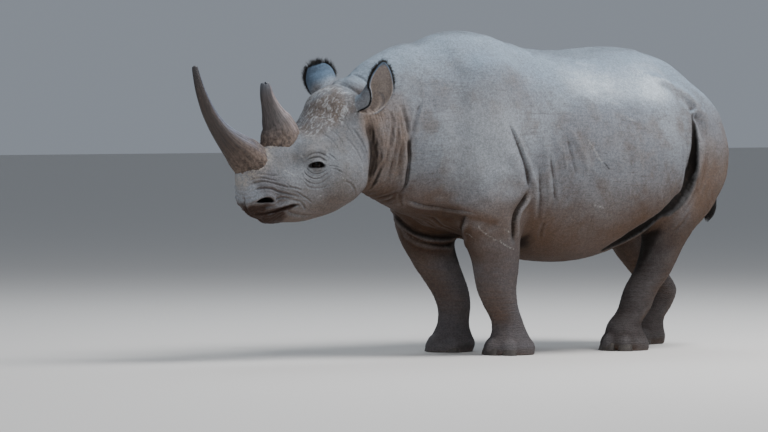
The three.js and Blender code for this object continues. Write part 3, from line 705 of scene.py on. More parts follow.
def pull_on(form, points, most, rounds=2):
    """Moves points onto the surface of a form, each by no more than most in a round."""
    for _ in range(rounds):
        d, slope = slope_of(form, points)
        step = -slope * (d / np.maximum((slope**2).sum(1), 0.2))[:, None]
        size = np.linalg.norm(step, axis=1)
        step *= np.minimum(1, most / np.maximum(size, 1e-9))[:, None]
        points = points + step
    return points


def split_edges(points, triangles, wanted):
    """Splits every edge longer than the length wanted at its middle."""
    edges = np.sort(triangles[:, [[0, 1], [1, 2], [2, 0]]].reshape(-1, 2), axis=1)
    unique, back = np.unique(edges[:, 0] * len(points) + edges[:, 1], return_inverse=True)
    pairs = np.stack([unique // len(points), unique % len(points)], -1)
    middle = points[pairs].mean(1)
    length = np.linalg.norm(points[pairs[:, 0]] - points[pairs[:, 1]], axis=1)
    chosen = length > wanted(middle)
    fresh = np.full(len(unique), -1)
    fresh[chosen] = len(points) + np.arange(chosen.sum())
    points = np.concatenate([points, middle[chosen]])
    new = fresh[back].reshape(-1, 3)
    count = (new >= 0).sum(1)
    parts = [triangles[count == 0]]
    for many in (1, 2, 3):
        corner, cut = triangles[count == many], new[count == many]
        if many < 3:
            # Turn each triangle so that its first cut edge is edge 0, or its uncut one edge 2.
            first = np.argmax(cut >= 0, 1) if many == 1 else (np.argmin(cut, 1) + 1) % 3
            turn = (first[:, None] + np.arange(3)) % 3
            corner = np.take_along_axis(corner, turn, 1)
            cut = np.take_along_axis(cut, turn, 1)
        a, b, c = corner.T
        p, q, r = cut.T
        if many == 1:
            parts += [np.stack([a, p, c], -1), np.stack([p, b, c], -1)]
        elif many == 2:
            parts += [np.stack([p, b, q], -1), np.stack([a, p, q], -1), np.stack([a, q, c], -1)]
        else:
            parts += [np.stack([a, p, r], -1), np.stack([p, b, q], -1),
                      np.stack([r, q, c], -1), np.stack([p, q, r], -1)]
    return points, np.concatenate(parts)


def normals_of(points, triangles):
    """Unit normals of the points of a net."""
    a, b, c = (points[triangles[:, n]] for n in range(3))
    face = np.cross(b - a, c - a)
    normal = np.zeros_like(points)
    for axis in range(3):
        normal[:, axis] = sum(
            np.bincount(triangles[:, n], face[:, axis], len(points)) for n in range(3))
    return normal / np.maximum(np.linalg.norm(normal, axis=1), 1e-12)[:, None]


def relax(points, triangles, amount, rounds=1):
    """Moves each point part of the way to the mean of its neighbours."""
    edges = triangles[:, [[0, 1], [1, 2], [2, 0]]].reshape(-1, 2)
    count = np.bincount(edges[:, 0], minlength=len(points))
    amount = np.broadcast_to(amount, len(points))[:, None]
    for _ in range(rounds):
        total = np.stack([np.bincount(edges[:, 0], points[edges[:, 1], axis], len(points))
                          for axis in range(3)], -1)
        points = points + amount * (total / np.maximum(count, 1)[:, None] - points)
    return points


print("tools ready: pull on, split, relax")

# %% [markdown]
# ## The skin's first net
# The form is closed at the floor, where the soles are flat. The net is even over the body
# and finer over the head, and finest round eyes and nostrils.

# %% First net
CELL = 7  # millimetres
ANY_LENGTH = 1e3  # where edges are not split
LOW, HIGH = (-640, -1560, -12), (640, 1560, 1660)


def closed_at_floor(points):
    """The flesh, cut off level with the floor."""
    return carve(flesh(points), points[:, 2].astype(np.float32), 10)


def head_distance(points, place):
    """Distance from an eye or nostril, on the side where each point is."""
    u, v = to_head(points[:, 1], points[:, 2])
    across = np.abs(points[:, 0]) - place[0]
    return np.sqrt(across**2 + (u - place[1]) ** 2 + (v - place[2]) ** 2)


def head_detail(size):
    """The longest edge wanted at each point, with this size round the openings."""
    def wanted(points):
        length = np.full(len(points), ANY_LENGTH)
        length[points[:, 1] < -560] = CELL * 0.95
        length[head_distance(points, EYE_AT) < 75] = size
        length[head_distance(points, NOSTRIL_AT) < 80] = size
        return length
    return wanted


skin, faces = surface_mesh(closed_at_floor, LOW, HIGH, CELL)
skin = pull_on(closed_at_floor, skin, CELL / 2)
for size in (CELL * 0.6, CELL * 0.36):
    skin, faces = split_edges(skin, faces, head_detail(size))
    new_part = head_detail(size)(skin) < ANY_LENGTH
    skin[new_part] = pull_on(closed_at_floor, skin[new_part], 3)
print("skin", len(skin), "points", len(faces), "triangles")

# %% [markdown]
# ## Ears
# A black rhinoceros's ear is a cup on a short tube. We string horseshoe sections from
# root to tip, with a rounded rim, and join the cup to the head with a Boolean union,
# because both are closed. Then the joint is smoothed, so that no seam is left.

# %% Ear cups
def grid_of(first, second):
    """All pairs of two lists of numbers, as two long lists."""
    return (axis.ravel() for axis in np.meshgrid(first, second, indexing="ij"))


def closed_tube(points, rings, sides):
    """Points and triangles of a tube of rings, closed at each end by a fan."""
    points = np.vstack([points, points[:sides].mean(0), points[-sides:].mean(0)])
    i, j = grid_of(np.arange(rings - 1), np.arange(sides))
    a, b = i * sides + j, i * sides + (j + 1) % sides
    ring = np.arange(sides)
    after, last = (ring + 1) % sides, (rings - 1) * sides
    root, tip = np.full(sides, len(points) - 2), np.full(sides, len(points) - 1)
    triangles = np.concatenate([
        np.stack([a, b, b + sides], -1), np.stack([a, b + sides, a + sides], -1),
        np.stack([root, after, ring], -1), np.stack([tip, last + ring, last + after], -1)])
    p, q, r = (points[triangles[:, n]] for n in range(3))
    turned_in = (np.cross(p, q) * r).sum() < 0
    return points, triangles[:, ::-1] if turned_in else triangles


def ear_mesh(name, rings=90, steps=34):
    """A cup on a tube: an outer wall, a rounded rim, an inner wall and the other rim."""
    place = np.linspace(0, 1, rings)
    place = place + 0.02 * np.sin(2 * np.pi * place)
    centre, along, across, facing, half, reach, flat = ear_frame(name, place)
    wall = np.minimum(EAR_WALL + 3 * (1 - place), half * 0.5)
    turns, radii = [], []
    for way in (1, -1):
        for n in range(steps + 1):
            turns.append(reach * (2 * n / steps - 1) * way)
            radii.append(half if way > 0 else half - wall)
        for n in range(1, 5):
            swing = math.pi * n / 5
            turns.append(way * (reach + np.sin(swing) * wall / 2 / np.maximum(half, 8)))
            radii.append(half - wall * (1 - way * math.cos(swing)) / 2)
    turns, radii = np.stack(turns, 1), np.stack(radii, 1)
    ripple = 1 + 0.02 * np.sin(9 * place)[:, None] * np.sin(turns * 2.3)
    points = (centre[:, None] + across[:, None] * (radii * ripple * np.sin(turns))[..., None]
              - facing[:, None] * (radii * np.cos(turns) * flat[:, None])[..., None])
    points = points.reshape(-1, 3) * (EARS[name]["side"], 1, 1)
    return closed_tube(points, rings, turns.shape[1])


print("an ear has", len(ear_mesh("left")[0]), "points")

# %% [markdown]
# ## Meshes and their union
# Blender's Boolean union joins closed meshes cleanly, as a mould maker joins two casts. It
# needs real meshes, so we hand the nets over, join them and take the result back.

# %% Meshes and their union
def bare_mesh(name, points, triangles):
    """A Blender mesh of points and faces that all have the same number of corners."""
    mesh = bpy.data.meshes.new(name)
    mesh.vertices.add(len(points))
    mesh.vertices.foreach_set("co", np.asarray(points, np.float32).ravel())
    triangles = np.asarray(triangles, np.int32)
    sides = triangles.shape[1]
    mesh.loops.add(triangles.size)
    mesh.loops.foreach_set("vertex_index", triangles.ravel())
    mesh.polygons.add(len(triangles))
    mesh.polygons.foreach_set("loop_start", np.arange(0, triangles.size, sides, dtype=np.int32))
    mesh.polygons.foreach_set("use_smooth", np.ones(len(triangles), bool))
    mesh.update(calc_edges=True)
    return mesh


def joined(points, triangles, others):
    """The union of closed meshes, by Blender's Boolean modifier."""
    scratch = []
    for name, (p, t) in [("whole", (points, triangles)), *others]:
        thing = bpy.data.objects.new(name, bare_mesh(name, p * MM, t))
        bpy.context.scene.collection.objects.link(thing)
        scratch.append(thing)
    for thing in scratch[1:]:
        modifier = scratch[0].modifiers.new(thing.name, "BOOLEAN")
        modifier.operation, modifier.solver, modifier.object = "UNION", "MANIFOLD", thing
    graph = bpy.context.evaluated_depsgraph_get()
    result = bpy.data.meshes.new_from_object(scratch[0].evaluated_get(graph))
    result.calc_loop_triangles()
    where = np.empty(len(result.vertices) * 3, np.float32)
    result.vertices.foreach_get("co", where)
    corners = np.empty(len(result.loop_triangles) * 3, np.int32)
    result.loop_triangles.foreach_get("vertices", corners)
    for thing in scratch:
        mesh = thing.data
        bpy.data.objects.remove(thing)
        bpy.data.meshes.remove(mesh)
    bpy.data.meshes.remove(result)
    return where.reshape(-1, 3).astype(float) / MM, corners.reshape(-1, 3).astype(np.int64)


ears = [(name, ear_mesh(name)) for name in EARS]
skin, faces = joined(skin, faces, ears)
print("skin with ears:", len(skin), "points")

# %% [markdown]
# ## Joining the ears
# Skin runs from head to ear without a break. After the union we find the points where the
# two nets meet and relax the skin round them, less and less with distance.

# %% The joint
SEAM_REACH = 26  # millimetres smoothed on each side of the joint
ear_side = np.zeros(len(skin))
top = np.nonzero((skin[:, 2] > 1050) & (skin[:, 1] < -640))[0]
ear_side[top] = flesh(skin[top]) > 1.5
on_ear = ear_side > 0.5
edge = np.concatenate([faces[:, [0, 1]], faces[:, [1, 2]]])
seam = np.unique(edge[(ear_side[edge[:, 0]] != ear_side[edge[:, 1]])].ravel())
tree = KDTree(len(seam))
for n, spot in enumerate(skin[seam]):
    tree.insert(spot, n)
tree.balance()
seam_distance = np.full(len(skin), 1e3)
seam_distance[top] = [tree.find(spot)[2] for spot in skin[top]]
soft = np.clip(1 - seam_distance / SEAM_REACH, 0, 1)
skin = relax(skin, faces, 0.5 * np.sqrt(soft), 14)
print("ears joined along", len(seam), "points")

# %% [markdown]
# ## Folds, creases and wrinkles
# A rhinoceros wears its hide like armour: stiff plates with deep folds between them. A
# sculptor draws each fold as a line on the clay and works along it. We do the same. A
# line is a few points seen from the side (or in the head's own frame), laid on the form;
# each skin point near it then moves in or out along its own normal.

# %% Laying lines on the form
def lay(view, points, side, count):
    """A smooth line through points of a view, laid on the flesh, with its normals."""
    # The axis looked along, and a start outside the flesh.
    axis, start_at = {"side": (0, 800 * side), "head": (0, 800 * side), "front": (1, -1900),
                      "back": (1, 1900), "top": (2, 1900)}[view]
    flat = smooth_line(points, count)
    if view == "head":
        flat = np.column_stack(from_head(*flat.T))
    elif view != "side":
        flat[:, 0] *= side
    start = np.insert(flat, axis, start_at, axis=1)
    way = np.zeros(3)
    way[axis] = -np.sign(start_at)
    # Walk each point towards the flesh by what is left of the way.
    travelled = np.zeros(count)
    spot = start
    for _ in range(60):
        travelled += np.clip(plain_flesh(spot) * 0.6, -20, 140)
        spot = start + way * travelled[:, None]
    spot = spot[np.abs(plain_flesh(spot)) < 6]
    if len(spot) < 4:
        return None
    _, normal = slope_of(plain_flesh, spot, 3.0)
    return spot, unit(normal)


def near_line(points, line, reach):
    """Points within reach of a line: index, distance, place along it, and side of it."""
    spots, normals = line
    low, high = spots.min(0) - reach, spots.max(0) + reach
    index = np.nonzero(((points > low) & (points < high)).all(1))[0]
    here = points[index]
    best = np.full(len(index), 1e9)
    place, across = np.zeros(len(index)), np.zeros(len(index))
    count = len(spots) - 1
    for n in range(count):
        a, b = spots[n], spots[n + 1]
        span = b - a
        t = np.clip(((here - a) @ span) / (span @ span), 0, 1)
        off = here - a - t[:, None] * span
        d = (off**2).sum(1)
        closer = d < best
        over = np.cross(span, normals[n])
        over /= np.linalg.norm(over)
        best = np.where(closer, d, best)
        place = np.where(closer, (n + t) / count, place)
        across = np.where(closer, off @ over, across)
    d = np.sqrt(best)
    keep = d < reach
    return index[keep], d[keep], place[keep], across[keep]


spot = lay("side", [(760, 1392), (880, 1352)], 1, 4)[0][0]
print("the hip's ridge starts at", spot.round())

# %% [markdown]
# ## Working along a line
# A tool pressed along a line leaves a shape across it. A groove has low lips, a ridge is
# round, and a fold has a rolled edge that hangs over a tuck. The work fades at both ends.

# %% Profiles
def fold_profile(s):
    """A rolled edge on the left of the line, hanging over a tuck on the right."""
    roll = 0.75 * bump_at(s, -0.85, 0.62)
    return roll - bump_at(s, 0.12, 0.34) - 0.3 * bump_at(s, 0.6, 0.8)


PROFILES = {
    "fold_left": fold_profile, "fold_right": lambda s: fold_profile(-s),
    "groove": lambda s: 0.22 * bump_at(np.abs(s), 1.15, 0.5) - bump_at(s, 0, 0.55),
    "ridge": lambda s: bump_at(s, 0, 0.8),
}
FADE = 0.22  # share of a line over which its work fades in and out
REACH = 2.6  # widths to each side that a line is worked


def work(points, normals, kind, view, width, depth, line_points, side):
    """Works one line into the skin; width and depth may change from its start to its end."""
    line = lay(view, line_points, side, 10 * len(line_points))
    if line is None:
        return
    widths, depths = np.atleast_1d(width), np.atleast_1d(depth)
    index, d, place, across = near_line(points, line, widths.max() * REACH)
    width = widths[0] + (widths[-1] - widths[0]) * place
    depth = depths[0] + (depths[-1] - depths[0]) * place
    s = np.sign(across) * d / width
    if side < 0:
        s = -s
    fade = ramp(place, 0, FADE) * ramp(1 - place, 0, FADE)
    spots, line_normals = line
    step = np.minimum((place * (len(spots) - 1)).astype(int), len(spots) - 1)
    same_way = ramp((normals[index] * line_normals[step]).sum(1), -0.1, 0.5)
    amount = fade * same_way * ramp(REACH - np.abs(s), 0, 0.8)
    points[index] += normals[index] * (PROFILES[kind](s) * amount * depth)[:, None]


print("profiles:", *PROFILES)

# %% [markdown]
# ## The lines of the body
# These are drawn on side, back, front and top views: kind, width, depth in millimetres, and
# points. A pair of numbers for width or depth runs from the line's start to its end. A fold's
# rolled edge lies on the side named.

# %% Lines of the body
SIDE_LINES = [
    # Shoulder: the rolled rear edge down to the elbow, and the lower edge over the arm.
    ("fold_left", (12, 28), (2, 17), [(-150, 1170), (-118, 1105), (-76, 1015), (-40, 935),
        (-16, 870), (-6, 815)]),
    ("fold_left", (28, 22), (17, 16), [(-6, 815), (-26, 765), (-60, 715), (-72, 660),
        (-56, 600), (-40, 545)]),
    ("ridge", 44, 7, [(-170, 1060), (-120, 980), (-80, 910), (-62, 850), (-80, 780), (-130, 720)]),
    ("fold_right", (22, 12), (10, 2), [(-560, 772), (-500, 752), (-440, 736), (-370, 728),
        (-310, 714), (-250, 694)]),
    ("ridge", 34, 7, [(-480, 776), (-400, 760), (-320, 742), (-250, 716), (-190, 690)]),
    ("groove", 40, 9, [(-330, 676), (-270, 664), (-210, 650), (-160, 632)]),
    # Neck: the great fold before the shoulder and its feeders.
    ("fold_right", 26, 14, [(-604, 1090), (-612, 1040), (-606, 980), (-598, 900), (-588, 830),
        (-600, 770)]),
    # Neck: the recess close behind the cheek.
    ("groove", 44, 22, [(-830, 1190), (-804, 1100), (-776, 1000), (-770, 930), (-768, 870),
        (-730, 780)]),
    ("groove", 16, 8, [(-640, 1250), (-632, 1190), (-618, 1130), (-610, 1050)]),
    ("groove", 18, 9, [(-536, 1250), (-566, 1185), (-590, 1110), (-608, 1050)]),
    ("groove", 16, 7, [(-640, 1060), (-648, 980), (-632, 890), (-606, 820)]),
    ("groove", 15, 8, [(-700, 1210), (-690, 1140), (-700, 1070), (-705, 1010)]),
    ("groove", 15, 7, [(-672, 1170), (-668, 1070), (-678, 980), (-676, 880), (-650, 810)]),
    ("groove", 14, 7, [(-712, 1060), (-716, 980), (-732, 920), (-732, 850), (-716, 790)]),
    ("groove", 13, 6, [(-742, 1010), (-756, 930), (-762, 870), (-744, 820)]),
    ("groove", 16, 8, [(-600, 812), (-630, 782), (-655, 762)]),
    ("groove", 14, 7, [(-590, 800), (-560, 760), (-530, 735)]),
    ("groove", 13, 6, [(-606, 800), (-600, 760), (-604, 730)]),
    # Flank behind the elbow: soft upright folds.
    ("groove", 18, 7, [(28, 945), (48, 890), (62, 820), (82, 750), (96, 690), (104, 640)]),
    ("ridge", 20, 7, [(0, 900), (26, 840), (44, 770), (62, 710), (66, 650)]),
    ("groove", 15, 6, [(98, 1000), (112, 930), (124, 870), (140, 800), (160, 735)]),
    ("ridge", 18, 6, [(74, 960), (92, 890), (108, 820), (124, 750), (132, 690)]),
    ("groove", 13, 4, [(190, 1080), (206, 1010), (222, 940), (240, 880)]),
    ("ridge", 16, 4, [(166, 1040), (180, 970), (196, 900)]),
    ("ridge", 22, 5, [(206, 1140), (232, 1080), (252, 1040), (276, 985), (294, 930), (302, 880)]),
    ("groove", 12, 5, [(136, 660), (142, 610), (168, 565)]),
    ("groove", 7, 2.5, [(352, 722), (362, 680), (362, 640)]),
    ("ridge", 26, 5, [(60, 1120), (74, 1010), (92, 900)]),
    # Haunch: the lit edge from the hip, the hollow behind it and the thigh's folds.
    ("ridge", 46, 15, [(760, 1392), (880, 1352), (970, 1318), (1040, 1280), (1098, 1228),
        (1142, 1158), (1170, 1080)]),
    ("groove", (40, 50), (2, 19), [(980, 1282), (1024, 1258), (1062, 1222), (1080, 1190)]),
    ("groove", (50, 36), (19, 5), [(1080, 1190), (1098, 1146), (1110, 1090), (1116, 1020)]),
    ("ridge", 22, 8, [(1080, 1110), (1096, 1030), (1094, 950), (1070, 870), (1020, 780),
        (960, 700), (900, 640)]),
    ("groove", 20, 4, [(1130, 1010), (1130, 920), (1108, 830), (1070, 750)]),
    ("groove", 14, 4, [(1080, 880), (1074, 800), (1040, 730), (990, 660)]),
    ("groove", 12, 3, [(1046, 700), (1010, 640), (960, 590)]),
]
BACK_LINES = [
    ("groove", 26, 12, [(90, 1290), (84, 1200), (74, 1100), (60, 980), (40, 880)]),
    ("groove", 20, 8, [(150, 1250), (170, 1150), (176, 1050), (160, 950), (130, 860)]),
    ("groove", 18, 7, [(240, 1200), (262, 1100), (266, 1000), (250, 900)]),
    ("groove", 18, 9, [(0, 1240), (0, 1100), (0, 960), (0, 820)]),
]
FRONT_LINES = [
    ("fold_left", 26, 12, [(300, 700), (240, 660), (160, 600), (80, 560), (0, 545)]),
    ("fold_left", 22, 9, [(230, 620), (170, 570), (100, 530), (0, 515)]),
    ("groove", 18, 8, [(120, 760), (90, 700), (60, 640), (40, 600)]),
    ("groove", 16, 7, [(0, 800), (0, 740), (0, 680), (0, 620)]),
]
TOP_LINES = [  # the rolled fold of the poll, between the ears, and the tucks beside it
    ("ridge", 32, 12, [(0, -836), (50, -832), (95, -820), (130, -800), (150, -780)]),
    ("groove", 18, 8, [(0, -880), (50, -874), (95, -860), (130, -838), (156, -815)]),
    ("groove", 14, 4, [(0, -786), (50, -782), (95, -772), (130, -756)]),
]


def work_all(views):
    """Works every line of some views into both sides of the skin."""
    normals = normals_of(skin, faces)
    for side in (1, -1):
        for view, lines in views.items():
            for kind, width, depth, line in lines:
                work(skin, normals, kind, view, width, depth, line, side)
    print("lines worked:", {view: len(lines) for view, lines in views.items()})


work_all({"side": SIDE_LINES, "back": BACK_LINES, "front": FRONT_LINES, "top": TOP_LINES})

# %% [markdown]
# ## The lines of the head
# The face is the finest work: lips, nostrils, rings of skin round the eye, cheek and temple.
# The points are forward and up in the head's own frame.

# %% Lines of the head
HEAD_LINES = [
    # Mouth and lips.
    ("groove", 9, 13, [(672, -82), (652, -90), (608, -103), (535, -113), (488, -127),
        (462, -140)]),
    ("ridge", 16, 7, [(668, -62), (640, -72), (600, -86), (540, -96), (480, -108)]),
    ("ridge", 14, 5, [(640, -108), (600, -122), (540, -132), (490, -146)]),
    ("groove", 9, 5, [(462, -120), (448, -150), (440, -176)]),
    # Round the nostril and along the muzzle.
    ("groove", 9, 5.5, [(676, 22), (640, 36), (604, 26), (572, 6), (550, -20), (516, -50),
        (484, -76), (440, -112)]),
    ("ridge", 12, 4, [(670, 38), (636, 52), (596, 42), (562, 18), (534, -8)]),
    ("groove", 8, 4.5, [(664, 56), (632, 66), (592, 56), (556, 30), (528, 4), (500, -22),
        (470, -42)]),
    ("groove", 7, 3.5, [(652, 84), (616, 84), (578, 66), (544, 38), (516, 20)]),
    ("groove", 6, 3, [(600, 98), (566, 80), (530, 56), (500, 44)]),
    ("groove", 8, 5, [(592, -52), (562, -50), (530, -62), (504, -84)]),
    ("groove", 8, 5, [(650, -52), (628, -62), (600, -68), (566, -68)]),
    ("groove", 7, 4, [(648, -66), (618, -78), (580, -84), (546, -88)]),
    ("groove", 7, 4, [(470, -60), (446, -92), (420, -130), (404, -160)]),
    ("groove", 7, 3, [(500, -90), (470, -112), (446, -140)]),
    ("groove", 7, 4, [(500, 2), (486, -28), (460, -50), (436, -76)]),
    # Lids and the rings of skin round the eye.
    ("groove", 5, 4, [(360, 34), (366, 6), (352, -24), (326, -40), (296, -42), (272, -36)]),
    ("groove", 6, 4, [(384, 24), (388, -8), (366, -44), (332, -62), (296, -60), (268, -52)]),
    ("groove", 6, 3.5, [(408, 10), (402, -34), (374, -68), (336, -86), (292, -80), (262, -66)]),
    ("groove", 6, 2.5, [(420, -14), (404, -66), (366, -98), (320, -112), (276, -100)]),
    ("groove", 6, 5, [(362, 38), (336, 46), (304, 38), (278, 18), (262, -12)]),
    ("groove", 7, 4, [(372, 52), (338, 64), (296, 56), (264, 32), (246, 0)]),
    ("ridge", 14, 4, [(366, 60), (334, 80), (292, 76), (256, 52), (236, 20)]),
    ("groove", 6, 3, [(270, -28), (248, -40), (226, -58)]),
    ("groove", 6, 3, [(266, -40), (240, -62), (222, -86)]),
    ("groove", 6, 3, [(244, 26), (226, 0), (220, -30)]),
    # Cheek, jaw and temple.
    ("groove", 9.6, 2.8, [(240, -120), (200, -160), (180, -210), (176, -250)]),
    ("groove", 9.6, 2.8, [(120, 60), (96, 0), (84, -70), (90, -140)]),
    ("groove", 9.6, 3.5, [(60, 90), (44, 20), (36, -60), (44, -140), (70, -200)]),
    ("groove", 7.2, 2.1, [(170, 130), (150, 90), (140, 40), (142, -10)]),
    ("groove", 7.2, 2.1, [(206, 120), (188, 80), (180, 40), (184, 0)]),
    ("groove", 7.2, 2.1, [(96, 150), (80, 110), (72, 60), (70, 20)]),
]
work_all({"head": HEAD_LINES})

# %% [markdown]
# ## The small unevenness of hide
# No hide is even. Slow swellings, finer lumps and families of wrinkles where the skin
# folds at every step give it life. They come from a lattice of random heights, smoothed,
# so that the same numbers come out each time.

# %% Random heights
def lattice(points, size, seed):
    """Smooth random values from -1 to 1, with swells about size across."""
    place = np.asarray(points, float) / size + seed * 17.31
    cell = np.floor(place).astype(np.int64)
    part = place - cell
    part = part * part * (3 - 2 * part)
    total = np.zeros(len(place))
    for corner in range(8):
        bits = np.array([corner & 1, (corner >> 1) & 1, corner >> 2])
        key = cell + bits
        mixed = (key[:, 0] * 73856093) ^ (key[:, 1] * 19349663) ^ (key[:, 2] * 83492791)
        mixed = (mixed ^ (seed * 2654435761)) & 0xFFFFFFFF
        mixed = ((mixed ^ (mixed >> 15)) * 2246822519) & 0xFFFFFFFF
        mixed = ((mixed ^ (mixed >> 13)) * 3266489917) & 0xFFFFFFFF
        value = (mixed ^ (mixed >> 16)) / 2147483648.0 - 1
        weight = np.where(bits, part, 1 - part).prod(1)
        total += value * weight
    return total


def window(value, low, high, soft):
    """1 between low and high, and 0 outside, with soft edges."""
    return ramp(value, low - soft, low + soft) * ramp(-value, -high - soft, -high + soft)


x, y, z = skin.T
u, v = to_head(y, z)
at_head = ramp(-y, 760, 900)
uneven = 3.0 * lattice(skin, 150, 1) + 1.6 * lattice(skin, 62, 2) + 0.8 * lattice(skin, 27, 3)
uneven *= 1 - 0.45 * at_head - 0.4 * on_ear
eye_gap = head_distance(skin, EYE_AT)
uneven *= ramp(eye_gap, 30, 60)
print("unevenness from", uneven.min().round(1), "to", uneven.max().round(1), "mm")

# %% [markdown]
# ## Families of wrinkles
# Skin that bends at every step wrinkles in families: many creases side by side, each with
# its own strength. A family runs across one direction inside one zone of the body.

# %% Wrinkle families
def family(coordinate, spacing, seed, sway=0.5, thin=0.16):
    """Creases at random spacing across a coordinate: 1 in a crease, 0 between."""
    phase = coordinate / spacing + sway * lattice(skin, spacing * 5, seed)
    phase = phase + 0.25 * lattice(skin, spacing * 1.6, seed + 1)
    gap = np.abs(phase - np.round(phase))
    strength = 0.5 + 0.5 * lattice(skin, spacing * 2.4, seed + 2)
    return np.exp(-((gap / thin) ** 2)) * strength


neck_zone = window(y, -800, -610, 40) * window(z, 740, 1260, 90) * (1 - on_ear)
throat = window(y, -760, -560, 60) * (1 - ramp(z, 780, 960))
flank = window(y, 30, 330, 90) * window(z, 600, 1080, 140) * ramp(np.abs(x), 250, 360)
thigh = window(y, 700, 1250, 60) * window(z, 520, 1000, 90)
shins = 1 - ramp(z, 400, 560)
joints = bump_at(z, 240, 90) * 0.9 + bump_at(z, 400, 80) * 0.6
wrinkle = 3.4 * neck_zone * family(y + 0.12 * z, 30, 11)
wrinkle += 2.4 * neck_zone * family(y + 0.1 * z, 15, 91, thin=0.2)
temple = window(y, -850, -730, 40) * window(z, 1080, 1300, 60) * (1 - on_ear)
wrinkle += 2.2 * temple * family(y + 0.3 * z, 15, 101, thin=0.2)
wrinkle += 3.4 * throat * family(y * 0.5 - z * 0.9, 30, 21)
wrinkle += 3.0 * flank * family(y - 0.15 * z, 62, 31, thin=0.24)
wrinkle += 1.6 * thigh * family(y * 0.85 + z * 0.5, 44, 41)
wrinkle += 2.2 * shins * joints * family(z, 24, 51, sway=0.8)
muzzle = ramp(u, 430, 560) * at_head
wrinkle += 2.0 * muzzle * (1 - ramp(v, 20, 90)) * family(u * 0.35 + v * 0.9, 17, 61)
cheek = at_head * window(u, 20, 400, 60) * window(v, -220, 40, 60)
wrinkle += 1.2 * cheek * family(u * 0.7 - v * 0.4, 30, 71) * ramp(eye_gap, 60, 100)
crown = at_head * window(u, -60, 240, 50) * ramp(v, 60, 130)
wrinkle += 2.0 * crown * family(u * 0.75 + v * 0.2, 26, 81) * (1 - on_ear)
normals = normals_of(skin, faces)
skin = skin + normals * (uneven - wrinkle)[:, None]
print("deepest wrinkle", wrinkle.max().round(1), "mm")

# %% [markdown]
# ## What the hide carries
# Dust lies on the back, damp dirt and painted shade lie in folds, painted warm shade lies
# underneath, legs are darker, and the lips are bare dark skin. The nostrils' slits get
# painted shade, the muzzle's front painted light, the top painted sky light and the upper
# flank a painted highlight. We work each of these out once for every point of the skin,
# and the colours below read them.

# %% Marks stored on the skin
normals = normals_of(skin, faces)
x, y, z = skin.T
u, v = to_head(y, z)


def hollow(reach):
    """How shut in each point is: 0 in the open, 1 deep in a fold."""
    lifted = (skin + normals * reach).astype(np.float32)
    return np.clip(1 - in_parts(plain_flesh, lifted) / reach, 0, 1)


def sunk(rounds):
    """How far each point lies below the mean of its surroundings, in millimetres."""
    return ((relax(skin, faces, 0.5, rounds) - skin) * normals).sum(1)


narrow, wide = sunk(2), sunk(16)
shut_in = np.maximum(hollow(45), 0.8 * hollow(130))
outer = 1 - on_ear
rear = 1.25 * ramp(y, 960, 1100) * (1 - ramp(z + 50 * lattice(skin, 120, 9), 900, 1160))
marks = {
    # The state of the surface. It steers damp dirt and painted shade in creases and hollows,
    # painted shade deep in folds, and pale dust and painted light on swellings.
    "crease": np.clip(narrow / 1.6, 0, 1), "sunk": np.clip(wide / 9, 0, 1),
    "raised": np.clip(-wide / 7, 0, 1), "shut_in": ramp(shut_in, 0.12, 0.85) * outer,
    # below steers a painted warm shade on faces that look down.
    "below": ramp(-normals[:, 2], -0.15, 0.75) * ramp(-z, -1050, -700),
    # top steers painted sky light with pale dust, spine painted shade, and lit a painted
    # highlight.
    "top": ramp(normals[:, 2], 0.2, 0.9) * ramp(z, 900, 1300),
    "spine": ramp(normals[:, 2], 0.86, 0.98) * ramp(z, 1300, 1420),
    "lit": window(normals[:, 2], 0.5, 0.76, 0.12) * window(y, 330, 880, 120) * ramp(z, 1180, 1300),
    # Places on the body.
    # low steers a painted warm shade lower down and at the rear.
    "low": np.maximum(1 - ramp(z + 70 * lattice(skin, 160, 8), 560, 930), rear),
    "leg": 1 - ramp(z + 60 * lattice(skin, 120, 5), 430, 690),
    "haunch": ramp(y, 560, 700) * (1 - ramp(z, 560, 760)),
    # brisket steers a painted brown shadow in the armpit and throat.
    "brisket": np.maximum(
        window(y, -640, -60, 70) * window(z, 470, 740, 50) * (1 - ramp(np.abs(x), 225, 320)),
        window(y, -790, -560, 40) * (1 - ramp(z, 760, 900))),
    "dusty": window(y, -420, -90, 90) * window(z, 820, 1240, 120) * ramp(np.abs(x), 200, 320),
    # neck steers a painted warm shade on the neck behind the cheek.
    "neck": np.clip(neck_zone + temple, 0, 1),
    "upright": np.clip(neck_zone + 0.5 * flank + 0.3 * thigh, 0, 1),
    "rings": shins * (1 - ramp(z, 330, 520)) + joints * 0.2,
    # Places on the head.
    "face": at_head * outer, "eye_hole": np.exp(-((eye_gap / 38) ** 4)),
    "nose": at_head * ramp(u, 470, 560) * (1 - ramp(u, 620, 660)),
    # muzzle steers painted light on the muzzle's front.
    "muzzle": at_head * ramp(u, 610, 665) * ramp(v, -40, 20),
    # pit steers painted shade in the nostrils' slits.
    "pit": at_head * (1 - ramp(comma(u, v, 35, 12), -0.12, 0.25)) * (np.abs(x) > 50),
    "lid": at_head * (1 - ramp(eye_slit(u, v), 0.0, 0.42)) * (np.abs(x) > 120),
    "mud": at_head * (window(u, -40, 260, 40) * ramp(v, 80, 150)) * outer,
    "ear": ear_side * ramp(seam_distance, 20, 80) * np.where(x > 0, ramp(z, 1250, 1400), 1),
}
print({name: round(float(values.mean()), 3) for name, values in marks.items()})

# %% [markdown]
# ## Lips, horn feet, ear linings and the deep folds
# These marks need more than one step. Lips and chin are damp and dark, a pale ring of worn
# skin runs round the foot of each horn, the inside of an ear is bare, and no light reaches the
# bottom of the crescent before the thigh.

